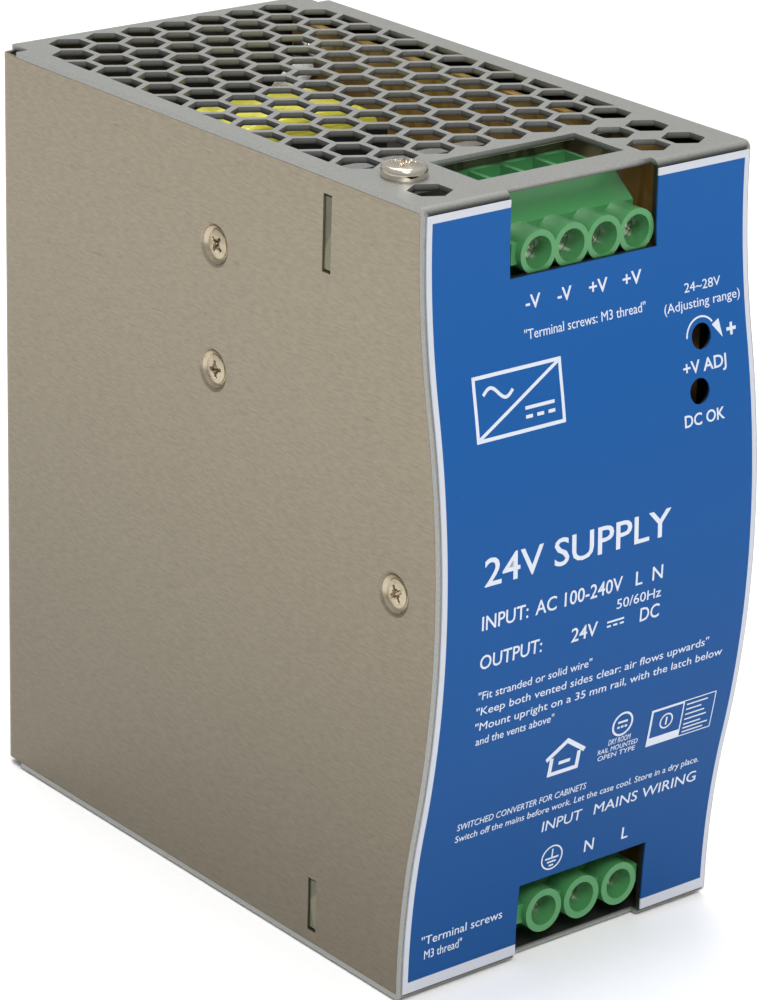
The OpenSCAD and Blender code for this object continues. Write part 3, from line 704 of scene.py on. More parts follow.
class Paints(Enum):
    """The finishes of this object: one for each slot of the record, the front board's own and the print's."""

    # The steels' last two numbers are the painted light from above and the painted shade on inner faces.
    cover_steel = SheetSteel("cover_steel", (0.335, 0.338, 0.32), 0.44, 0.80, (1.0, 1.0, 1.0), 3200.0, 1.6e-6,
                             0.10, 0.03, 0.0, 0.12)
    chassis_steel = SheetSteel("chassis_steel", (0.236, 0.204, 0.151), 0.38, 0.80, (1.0, 0.2, 1.0), 2800.0,
                               1.6e-6, 0.11, 0.03, 0.27, 0.12)
    label_film = Label()
    label_ink = Plastic("label_ink", (0.56, 0.60, 0.68), 0.45, 8e-7, 2600.0, 0.05)
    nickel_screw = Plate("nickel_screw", (0.72, 0.66, 0.56), 0.16, (0.30, 0.16, 0.06), 0.25)
    panel_screw = Plate("panel_screw", (0.46, 0.395, 0.29), 0.30, (0.20, 0.11, 0.035), 0.4)
    insulating_film = Plastic("insulating_film", (0.018, 0.018, 0.02), 0.30, 1.2e-5, 260.0, 0.2, 0.2)
    brass_spacer = Plate("brass_spacer", (0.66, 0.47, 0.20), 0.26, (0.2, 0.1, 0.03), 0.4)
    circuit_board = Laminate()
    front_laminate = Laminate("front_laminate", (0.085, 0.085, 0.04), (0.17, 0.165, 0.085),
                              (0.02, 0.03, 0.015))
    terminal_plastic = Plastic("terminal_plastic", (0.057, 0.232, 0.078), 0.34, 1.6e-6, 2600.0, 0.06, 0.12,
                               0.12)
    tinned_contact = Plate("tinned_contact", (0.60, 0.58, 0.53), 0.32, (0.3, 0.28, 0.24), 0.5)
    terminal_screw_metal = Plate("terminal_screw_metal", (0.88, 0.84, 0.76), 0.13, (0.2, 0.14, 0.08), 0.3)
    clamp_metal = Plate("clamp_metal", (0.62, 0.60, 0.55), 0.28, (0.25, 0.2, 0.14), 0.35)
    trimmer_plastic = Plastic("trimmer_plastic", (0.02, 0.08, 0.36), 0.3, 1e-6, 2600.0, 0.1, 0.2)
    rotor_plastic = Plastic("rotor_plastic", (0.72, 0.68, 0.56), 0.45)
    lamp_lens = Lens()
    ferrite = Plastic("ferrite", (0.022, 0.021, 0.023), 0.5, 1.4e-5, 900.0, 0.25)
    black_plastic = Plastic("black_plastic", (0.013, 0.013, 0.014), 0.35)
    winding_tape = Tape()
    coated_core = Plastic("coated_core", (0.045, 0.15, 0.06), 0.28, 2e-5, 500.0, 0.2, 0.3)
    copper_wire = Plate("copper_wire", (0.62, 0.20, 0.07), 0.22, (0.3, 0.08, 0.02), 0.4)
    capacitor_sleeve = Plastic("capacitor_sleeve", (0.012, 0.014, 0.024), 0.22, 4e-6, 500.0, 0.2, 0.35)
    grey_capacitor = Plastic("grey_capacitor", (0.26, 0.27, 0.29), 0.5)
    blue_disc = Plastic("blue_disc", (0.02, 0.08, 0.33), 0.25, 1.5e-5, 380.0, 0.12, 0.4)
    fuse_glass = Plastic("fuse_glass", (0.66, 0.65, 0.60), 0.25, 4e-6, 900.0, 0.05, 0.3)
    package_plastic = Plastic("package_plastic", (0.018, 0.018, 0.019), 0.5, 8e-6, 1600.0, 0.2)
    heatsink_metal = SheetSteel("heatsink_metal", (0.60, 0.60, 0.615), 0.36, 0.95, (1.0, 1.0, 0.06), 1900.0,
                                4e-6, 0.12, 0.05)
    sleeve = Braid()
    zinc_bracket = SheetSteel("zinc_bracket", (0.60, 0.615, 0.63), 0.30, 0.95, (1.0, 1.0, 0.25), 1500.0, 2e-6,
                              0.10, 0.09)
    latch_steel = SheetSteel("latch_steel", (0.44, 0.45, 0.46), 0.34, 0.95, (1.0, 1.0, 0.2), 1500.0, 2e-6,
                             0.1, 0.1)
    spring_steel = Plate("spring_steel", (0.52, 0.52, 0.53), 0.2, (0.2, 0.15, 0.1), 0.3)

    @property
    def finish(self) -> Finish:
        """The member's value, under a plain name."""
        return self.value


# ---------------------------------------------------------------- camera, light and floor


@dataclass
class StudioStand:
    """Camera, lights and floor of the studio."""

    camera_at: tuple[float, float, float] = (-0.36695, -0.5104, 0.22195)
    bearing: float = 39.3
    dip: float = 21.17
    roll: float = 1.63
    lens: float = 140.5
    shift: tuple[float, float] = (0.0, -0.0023)
    floor_side: float = 6.0
    floor_bend: float = 1.5
    wall_top: float = 5.0
    floor_rows: int = 12
    sky: tuple[float, float] = (0.36, 0.72)

    def camera(self) -> None:
        """Places the camera by its bearing from +Y towards +X, its dip below level and its roll."""
        data = bpy.data.cameras.new("studio_camera")
        data.lens, data.sensor_width = self.lens, 36.0
        data.shift_x, data.shift_y = self.shift
        data.clip_start, data.clip_end = 0.02, 50.0
        made = bpy.data.objects.new("studio_camera", data)
        bpy.context.scene.collection.objects.link(made)
        turn = (Matrix.Rotation(math.radians(-self.bearing), 4, "Z")
                @ Matrix.Rotation(math.radians(90 - self.dip), 4, "X")
                @ Matrix.Rotation(math.radians(self.roll), 4, "Z"))
        made.matrix_world = Matrix.Translation(Vector(self.camera_at)) @ turn
        bpy.context.scene.camera = made

    def lamp(self, name: str, at: tuple[float, float, float], side: float, power: float) -> None:
        """Adds a soft square lamp aimed at the middle of the object."""
        data = bpy.data.lights.new(name, "AREA")
        data.shape, data.size, data.size_y = "RECTANGLE", side, side
        data.energy = power
        made = bpy.data.objects.new(name, data)
        bpy.context.scene.collection.objects.link(made)
        aim = (Vector((0, -0.055, 0)) - Vector(at)).to_track_quat("-Z", "Y")
        made.matrix_world = Matrix.Translation(Vector(at)) @ aim.to_matrix().to_4x4()

    def floor(self) -> None:
        """A floor that rises into a backdrop far behind: height is a quarter circle past the flat part."""
        base = float(CAD_BOX[0][2]) - 0.0004
        flat = np.linspace(-self.floor_side, self.floor_side * 0.5, self.floor_rows)
        bend = np.linspace(0, np.pi / 2, 16)
        past, rise = self.floor_bend * np.sin(bend)[1:], self.floor_bend * (1 - np.cos(bend))[1:]
        y = np.concatenate([flat, flat[-1] + past, [flat[-1] + self.floor_bend]])
        z = np.concatenate([0 * flat, rise, [self.wall_top]]) + base
        x = np.linspace(-self.floor_side, self.floor_side, self.floor_rows)
        points = np.stack([*np.meshgrid(x, y, indexing="ij"), np.tile(z, (len(x), 1))], -1)
        data = bpy.data.meshes.new("studio_floor")
        data.from_pydata(points.reshape(-1, 3).tolist(), [], Shape.grid_faces(len(x), len(y)).tolist())
        data.polygons.foreach_set("use_smooth", np.ones(len(data.polygons), bool))
        data.materials.append(Studio().material())
        made = bpy.data.objects.new("studio_floor", data)
        bpy.context.scene.collection.objects.link(made)

    def surround(self) -> None:
        """A white surround whose strength grows from the horizon to straight above."""
        world = bpy.data.worlds.new("studio")
        world.use_nodes = True
        nodes, links = world.node_tree.nodes, world.node_tree.links
        split, span = nodes.new("ShaderNodeSeparateXYZ"), nodes.new("ShaderNodeMapRange")
        links.new(nodes.new("ShaderNodeTexCoord").outputs["Generated"], split.inputs[0])
        links.new(split.outputs["Z"], span.inputs["Value"])
        span.inputs["To Min"].default_value, span.inputs["To Max"].default_value = self.sky
        links.new(span.outputs[0], nodes["Background"].inputs["Strength"])
        nodes["Background"].inputs["Color"].default_value = (1.0, 1.0, 1.0, 1.0)
        bpy.context.scene.world = world

    def build(self) -> None:
        """Sets up the whole stand."""
        bpy.context.scene.view_settings.view_transform = "Standard"
        self.surround()
        self.floor()
        self.lamp("key", (-0.5, -1.0, 1.1), 0.6, 15.0)
        self.lamp("top", (0.1, 0.3, 1.3), 0.9, 12.0)
        self.camera()


# ---------------------------------------------------------------- fasteners


class Head(Enum):
    """Shapes of a screw's head: radius and height of its outline's points, from the crown to the seat."""

    PAN = ((3.36, 1.55), (3.47, 1.0), (3.5, 0.4), (3.3, 0.0))
    FLAT = ((2.28, -0.52), (2.36, -0.56), (2.44, -0.52), (2.94, -0.03), (3.0, -0.13), (1.55, -1.4))
    CHEESE = ((2.62, -0.05), (2.72, -0.15), (2.75, -0.3), (2.75, -1.75), (2.7, -1.8))


@dataclass(frozen=True)
class CrossScrew:
    """A cross-recess screw along +Z, its seat or its face at z = 0, in millimetres.

    crown holds its rim's and its middle's heights. arm and slot are half the recess's length and width.
    """

    head: Head
    crown_r: float
    crown: tuple[float, float]
    arm: float
    slot: float
    depth: float
    length: float
    shank: float = 1.5
    soft: float = 0.16

    def recess(self, x: Array, y: Array) -> Array:
        """Depth of the recess: the deepest of two crossed slots and two small slots between them.

        Each slot is S((arm - |a|) / soft) times S((half - |b|) / soft), with S the smooth step. It narrows
        outwards as half = slot (1 - 0.25 |a| / arm) and gets shallower as 1 - 0.45 |a| / arm.

        Args:
            x: Places across the head.
            y: Places across the head.

        Returns:
            How far the face lies below the uncut head.
        """
        def step(t: Array) -> Array:
            t = np.clip(t / self.soft, 0, 1)
            return t * t * (3 - 2 * t)

        def cut(a: Array, b: Array) -> Array:
            a, b = np.abs(a), np.abs(b)
            half = self.slot * (1 - 0.25 * a / self.arm)
            return step(self.arm - a) * step(half - b) * (1 - 0.45 * a / self.arm)

        p, m = 1.15 * (x + y), 1.15 * (x - y)
        return self.depth * np.maximum.reduce([cut(x, y), cut(y, x), 0.7 * cut(p, m), 0.7 * cut(m, p)])

    def form(self, rings: int = 30, steps: int = 120) -> tuple[Array, Array]:
        """The whole screw as one turned surface whose crown carries the recess.

        The crown's height is low + (high - low) (1 - (r / crown_r)^2), less the recess.

        Args:
            rings: Rings across the crown.
            steps: Steps round the axis.

        Returns:
            Points and faces.
        """
        r = np.linspace(0, self.crown_r, rings)
        low, high = self.crown
        crown = np.stack([r, low + (high - low) * (1 - (r / self.crown_r) ** 2)], -1)
        under = self.head.value[-1][1]
        point = 0.4
        shank = [(self.shank, under - 0.02), (self.shank, -self.length + point),
                 (self.shank - point, -self.length), (0.0, -self.length)]
        points, faces = Shape.revolve(np.vstack([crown, self.head.value, shank]), steps)
        top = slice(0, rings * steps)
        points[top, 2] -= self.recess(points[top, 0], points[top, 1])
        return points, faces


@dataclass
class Screws:
    """All screws that show, and the terminal screws on their own bodies. Places are case millimetres."""

    pan: CrossScrew = CrossScrew(Head.PAN, 3.1, (1.85, 2.3), 2.15, 0.5, 1.5, 5.0)
    flat: CrossScrew = CrossScrew(Head.FLAT, 2.2, (-0.34, -0.12), 1.45, 0.4, 1.1, 6.0)
    short: CrossScrew = CrossScrew(Head.FLAT, 2.2, (-0.34, -0.12), 1.45, 0.4, 1.1, 2.6)
    cheese: CrossScrew = CrossScrew(Head.CHEESE, 2.5, (0.0, 0.08), 2.2, 0.42, 1.0, 8.95)
    cover_at: tuple[float, float] = (8.0, 14.4)
    sink: float = 0.25
    left_at: tuple[tuple[float, float], ...] = ((49.2, 87.2), (49.2, 107.1), (4.3, 65.4))
    lug_at: tuple[float, float] = (4.3, 65.4)
    spacer_at: tuple[tuple[float, float], ...] = ((28, 8), (28, 117), (99, 8), (99, 117))
    head_front: float = 4.0

    @staticmethod
    def set_in(screw: CrossScrew, out: Vector, at: Sequence[float], spin: float) -> tuple[Array, Array]:
        """A screw with its head towards out and its recess turned by spin degrees, at a place of the case."""
        points, faces = screw.form()
        turn = out.to_track_quat("Z", "Y").to_matrix() @ Matrix.Rotation(math.radians(spin), 3, "Z")
        return CASE.place(Shape.turned(points, turn, at)), faces

    def build(self) -> None:
        """Makes the cover's, the sides' and the terminals' screws."""
        x, y = self.cover_at
        left, right, up, down = Vector((-1, 0, 0)), Vector((1, 0, 0)), Vector((0, 0, 1)), Vector((0, 0, -1))
        lefts = zip(self.left_at, (8, 52, 31))
        rights = enumerate((self.lug_at, *self.spacer_at))
        far, short = CASE.width - self.sink, self.short
        sets = {
            "cover": ("nickel_screw", [self.set_in(self.pan, up, (x, y, CASE.height), 38),
                                       self.set_in(self.flat, down, (x, y, 0.1), 12)]),
            "left": ("panel_screw", [self.set_in(self.flat, left, (self.sink, *at), a) for at, a in lefts]),
            "right": ("panel_screw", [self.set_in(short, right, (far, *at), 17.0 * i) for i, at in rights]),
        }
        for side, (slot, parts) in sets.items():
            piece = Workshop.mesh(f"{side}_screws_turned", parts)
            Workshop.fit(piece, "case", Paints[slot].finish, slot, f"{side}_screws")
        self.terminals()

    def terminals(self) -> None:
        """One screw for each pole, found from its CAD node's box, because each turns on its own."""
        front = CASE.place(np.array([0, self.head_front, 0]))[1]
        for name in frame["nodes"]:
            side, kind, number = (name.split("_") + ["", ""])[:3]
            if kind != "screw" or side not in ("output", "input"):
                continue
            middle = sum(np.array(c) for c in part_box(name)) / 2
            spin = Matrix.Rotation(math.radians(29.0 * int(number) + len(side) * 7), 3, "Z")
            turn = Vector((0, -1, 0)).to_track_quat("Z", "Y").to_matrix() @ spin
            points, faces = self.cheese.form()
            points = Shape.turned(points * MM, turn, (middle[0], front, middle[2]))
            piece = Workshop.mesh(f"{name}_turned", [(points, faces)])
            Workshop.fit(piece, name, Paints.terminal_screw_metal.finish, "terminal_screw_metal", name)


# ---------------------------------------------------------------- print on the label


@dataclass(frozen=True)
class Legend:
    """A line of lettering: its ends, base line and capitals' height in case millimetres, and added weight."""

    words: str
    left: float
    right: float
    base: float
    cap: float
    heavy: float = 0.0


@dataclass
class LabelPrint:
    """Generic lettering and symbols, as thin solids that follow the swelling label."""

    proud: float = 0.03
    sunk: float = 0.02
    line_w: float = 0.28
    legends: tuple[Legend, ...] = (
        Legend("-V", 18.6, 21.4, 107.3, 2.0, 0.012),
        Legend("-V", 24.7, 27.4, 107.3, 2.0, 0.012),
        Legend("+V", 30.8, 34.4, 107.3, 2.0, 0.012),
        Legend("+V", 37.4, 41.1, 107.3, 2.0, 0.012),
        Legend('"Terminal screws: M3 thread"', 18.1, 41.7, 102.9, 1.45),
        Legend("24~28V", 49.6, 56.9, 104.2, 1.4),
        Legend("(Adjusting range)", 45.4, 60.8, 101.7, 1.4),
        Legend("+V ADJ", 48.3, 57.1, 92.0, 1.85, 0.012),
        Legend("DC OK", 48.0, 56.2, 84.1, 1.8, 0.012),
        Legend("24V SUPPLY", 8.3, 45.0, 68.2, 4.2, 0.008),
        Legend("INPUT:", 8.0, 16.9, 61.4, 2.2, 0.006),
        Legend("AC 100-240V", 18.3, 35.5, 61.4, 2.2, 0.006),
        Legend("L  N", 38.2, 43.7, 61.4, 2.2, 0.006),
        Legend("50/60Hz", 34.6, 43.6, 58.4, 1.55),
        Legend("OUTPUT:", 8.0, 20.0, 55.1, 2.2, 0.006),
        Legend("24V", 25.8, 31.0, 55.1, 2.2, 0.006),
        Legend("DC", 39.6, 43.5, 55.1, 2.2, 0.006),
        Legend('"Fit stranded or solid wire"', 8.2, 30.5, 50.0, 1.3),
        Legend('"Keep both vented sides clear: air flows upwards"', 8.1, 54.9, 47.4, 1.3),
        Legend('"Mount upright on a 35 mm rail, with the latch below', 8.2, 58.2, 44.8, 1.3),
        Legend('and the vents above"', 8.7, 24.0, 42.3, 1.3),
        Legend("DRY ROOM", 36.6, 41.1, 34.4, 1.0),
        Legend("RAIL MOUNTED", 34.7, 42.9, 33.2, 0.85),
        Legend("OPEN TYPE", 34.9, 42.6, 32.0, 0.85),
        Legend("SWITCHED CONVERTER FOR CABINETS", 7.9, 33.6, 27.5, 1.15),
        Legend("Switch off the mains before work. Let the case cool. Store in a dry place.",
               7.9, 57.7, 25.4, 1.15),
        Legend("INPUT", 25.8, 33.8, 21.9, 1.85),
        Legend("MAINS WIRING", 36.4, 57.8, 21.9, 1.85),
        Legend("N", 35.5, 37.4, 15.4, 2.05, 0.006),
        Legend("L", 43.3, 44.6, 15.4, 2.05, 0.006),
        Legend('"Terminal screws', 3.6, 19.6, 8.6, 1.45),
        Legend('M3 thread"', 4.3, 11.7, 6.1, 1.45),
    )

    def lettering(self, words: str, heavy: float) -> tuple[Array, list[list[int]]]:
        """Text of size 1 as a slab from z = 0 to 1: a curve that is made a mesh before it is placed."""
        curve = bpy.data.curves.new("legend", "FONT")
        curve.body, curve.extrude, curve.offset, curve.resolution_u = words, 0.5, heavy, 3
        holder = bpy.data.objects.new("legend", curve)
        bpy.context.scene.collection.objects.link(holder)
        mesh = holder.evaluated_get(bpy.context.evaluated_depsgraph_get()).to_mesh()
        points = np.empty(len(mesh.vertices) * 3)
        mesh.vertices.foreach_get("co", points)
        faces = [list(face.vertices) for face in mesh.polygons]
        holder.to_mesh_clear()
        bpy.data.objects.remove(holder)
        bpy.data.curves.remove(curve)
        return points.reshape(-1, 3) + (0, 0, 0.5), faces

    def lay(self, flat: Array) -> Array:
        """Lays points on the label: flat x and y become x and z, and flat z goes through the print.

        Args:
            flat: Points with x and y in case millimetres along the label, and z 0 behind and 1 in front.

        Returns:
            Places in metres.
        """
        face = CASE.swell(flat[:, 1]) + CASE.label_gap + CASE.label_thick
        y = -face + self.sunk - flat[:, 2] * (self.sunk + self.proud)
        return CASE.place(np.stack([flat[:, 0], y, flat[:, 1]], -1))

    def written(self, line: Legend, cap_of_one: float) -> tuple[Array, list[list[int]]]:
        """A legend stretched to its ends, its capitals to their height."""
        points, faces = self.lettering(line.words, line.heavy)
        low, high = points[:, 0].min(), points[:, 0].max()
        points[:, 0] = line.left + (points[:, 0] - low) * (line.right - line.left) / (high - low)
        points[:, 1] = line.base + points[:, 1] * line.cap / cap_of_one
        return self.lay(points), faces

    def ribbon(self, path: Sequence[Sequence[float]], width: float, closed: bool = False,
               ) -> tuple[Array, Array]:
        """A flat band along a path of the label: each point p gives p +- (width / 2) normal, front and back.

        Args:
            path: Corners or points of the centre line, in case millimetres.
            width: Width of the band.
            closed: Whether the path's end joins its start.

        Returns:
            Points and faces of a closed band.
        """
        p = np.asarray(path, float)
        if closed:
            p = np.vstack([p, p[:1]])
        length = np.concatenate([[0], np.cumsum(np.linalg.norm(np.diff(p, axis=0), axis=1))])
        extra = np.arange(0.4, length[-1], 0.8)
        at = np.unique(np.concatenate([length, extra]).round(5))
        p = np.stack([np.interp(at, length, p[:, k]) for k in (0, 1)], -1)
        if closed:
            p = p[:-1]
            ahead, behind = np.roll(p, -1, 0) - p, p - np.roll(p, 1, 0)
        else:
            ahead = np.vstack([np.diff(p, axis=0), p[-1:] - p[-2:-1]])
            behind = np.vstack([p[1:2] - p[:1], np.diff(p, axis=0)])
        ahead /= np.linalg.norm(ahead, axis=1, keepdims=True)
        behind /= np.linalg.norm(behind, axis=1, keepdims=True)
        along = ahead + behind
        along /= np.linalg.norm(along, axis=1, keepdims=True)
        mitre = 1 / np.maximum((along * ahead).sum(1, keepdims=True), 0.5)
        normal = np.stack([-along[:, 1], along[:, 0]], -1) * mitre * width / 2
        n = len(p)
        ring = np.empty((n, 4, 3))
        ring[:, 0, :2], ring[:, 1, :2] = p + normal, p - normal
        ring[:, 2, :2], ring[:, 3, :2] = p - normal, p + normal
        ring[:, :2, 2], ring[:, 2:, 2] = 1.0, 0.0
        faces = Shape.grid_faces(n, 4, True)
        if closed:
            k, last = np.arange(4), 4 * (n - 1)
            seam = np.stack([last + k, last + (k + 1) % 4, (k + 1) % 4, k], -1)
            faces = np.vstack([faces, seam])
        else:
            faces = np.vstack([faces, [[0, 1, 2, 3], [4 * n - 1, 4 * n - 2, 4 * n - 3, 4 * n - 4]]])
        return self.lay(ring.reshape(-1, 3)), faces

    def patch(self, corners: Sequence[tuple[float, float]]) -> tuple[Array, list[list[int]]]:
        """A filled flat shape with the given corners."""
        n = len(corners)
        flat = np.array([(*c, z) for z in (1.0, 0.0) for c in corners])
        sides = [[i, (i + 1) % n, n + (i + 1) % n, n + i] for i in range(n)]
        return self.lay(flat), [list(range(n)), list(range(2 * n - 1, n - 1, -1)), *sides]

    @staticmethod
    def arc(centre: tuple[float, float], radius: float, start: float, end: float, steps: int = 40) -> Array:
        """Points of an arc between two angles in degrees: centre + radius (cos a, sin a)."""
        a = np.radians(np.linspace(start, end, steps))
        return np.stack([centre[0] + radius * np.cos(a), centre[1] + radius * np.sin(a)], -1)

    def ring(self, centre: tuple[float, float], radius: float, width: float) -> tuple[Array, Array]:
        """A round outline."""
        return self.ribbon(self.arc(centre, radius, 0, 351, 40), width, True)

    def frame_of(self, low: tuple[float, float], high: tuple[float, float], width: float,
                 ) -> tuple[Array, Array]:
        """A rectangular outline."""
        return self.ribbon([low, (high[0], low[1]), high, (low[0], high[1])], width, True)

    def wave_of(self, left: float, right: float, z: float, height: float, width: float,
                ) -> tuple[Array, Array]:
        """The sign for alternating current: z + height sin(2 pi t), with t from 0 to 1 between two places."""
        x = np.linspace(left, right, 24)
        rise = height * np.sin((x - left) / (right - left) * 2 * np.pi)
        return self.ribbon(np.stack([x, z + rise], -1), width)

    def symbols(self) -> list[tuple[Array, Array]]:
        """The converter sign, the adjuster's arrow, plain use signs, a small table and the earth sign."""
        bar = self.ribbon

        def dashes(x: float, z: float, step: float, long: float, width: float) -> list[tuple[Array, Array]]:
            return [bar([(x + i * step, z), (x + i * step + long, z)], width) for i in range(3)]

        converter = [self.frame_of((8.0, 90.0), (24.4, 99.1), 0.55), bar([(8.2, 90.2), (24.2, 98.9)], 0.5),
                     self.wave_of(9.6, 15.2, 96.4, 0.9, 0.5), bar([(17.2, 93.2), (22.8, 93.2)], 0.5),
                     *dashes(17.2, 91.9, 2.15, 1.3, 0.5)]
        adjuster = [bar(self.arc((52.5, 97.2), 2.95, 178, 38), self.line_w),
                    self.patch([(56.75, 96.35), (56.15, 99.25), (54.75, 98.55)]),
                    bar([(57.65, 97.3), (59.55, 97.3)], 0.5), bar([(58.6, 96.35), (58.6, 98.25)], 0.5)]
        direct = [bar([(32.9, 56.6), (36.3, 56.6)], 0.3), *dashes(32.9, 55.9, 1.3, 0.8, 0.3)]
        house = [bar([(23.9, 35.3), (27.75, 37.9), (31.6, 35.3)], 0.75),
                 bar([(25.0, 35.4), (25.0, 32.5), (30.5, 32.5), (30.5, 35.4)], 0.7),
                 bar([(26.6, 34.2), (28.9, 34.2)], 0.6)]
        disc = [self.ring((38.9, 37.7), 1.95, 0.35), bar([(37.9, 38.1), (39.9, 38.1)], 0.35),
                *dashes(37.9, 37.2, 0.75, 0.5, 0.35)]
        table = [self.frame_of((45.0, 31.8), (58.4, 38.2), 0.16),
                 self.frame_of((45.2, 32.0), (51.7, 38.0), 0.22),
                 bar([(45.3, 32.6), (51.6, 32.6)], 1.1), self.ring((48.4, 35.6), 1.25, 0.25),
                 bar([(48.4, 34.9), (48.4, 36.3)], 0.3)]
        rows = ((37.4, 4.4), (36.5, 3.2), (35.6, 4.0), (34.7, 4.6), (33.8, 3.6), (33.1, 5.2), (32.4, 4.4))
        table += [bar([(52.4, z), (52.4 + long, z)], 0.22) for z, long in rows]
        earth = [self.ring((28.8, 16.5), 2.05, 0.25), bar([(28.8, 16.4), (28.8, 18.0)], 0.26)]
        earth += [bar([(28.8 - half, z), (28.8 + half, z)], 0.28)
                  for half, z in ((1.35, 16.4), (0.9, 15.75), (0.45, 15.1))]
        return converter + adjuster + direct + house + disc + table + earth

    def build(self) -> None:
        """Joins all lettering and symbols into one piece in pale ink."""
        capital, _ = self.lettering("H", 0.0)
        cap_of_one = float(capital[:, 1].max())
        parts = [self.written(line, cap_of_one) for line in self.legends] + self.symbols()
        piece = Workshop.mesh("label_print", parts, None)
        Workshop.fit(piece, "case", Paints.label_ink.finish, "label_film")


# ---------------------------------------------------------------- spring and wound parts


@dataclass
class LatchSpring:
    """The latch's coil spring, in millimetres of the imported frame."""

    mean_r: float = 1.55
    wire_r: float = 0.25
    low: float = -42.0
    high: float = -30.0
    turns: float = 6.0
    dead: float = 0.75
    centre_y: float = 0.55
    travel: float = 5.0
    steps: int = 420

    def build(self) -> None:
        """A helix (r cos a, r sin a, z): z rises with a, and much slower in the dead turns at both ends."""
        t = np.linspace(0, 1, self.steps)
        a = 2 * np.pi * self.turns * t
        share = np.clip((a / (2 * np.pi) - self.dead) / (self.turns - 2 * self.dead), 0, 1)
        low, high = self.low + self.wire_r, self.high - self.wire_r
        rise = 2.05 * self.wire_r
        z = low + rise * t + (high - low - rise) * share
        path = np.stack([self.mean_r * np.cos(a), self.centre_y + self.mean_r * np.sin(a), z], -1) * MM
        piece = Workshop.mesh("latch_spring_coil", [Shape.tube(path, self.wire_r * MM, 10)], 60.0)
        Workshop.fit(piece, "case", Paints.spring_steel.finish, "spring_steel", "latch_spring")
        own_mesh(piece)


@dataclass(frozen=True)
class TapedCoil:
    """A coil round its block core's middle leg, in case millimetres."""

    node: str
    core_at: tuple[float, float, float]
    core_size: tuple[float, float, float]
    leg: float
    proud: float
    inset: float


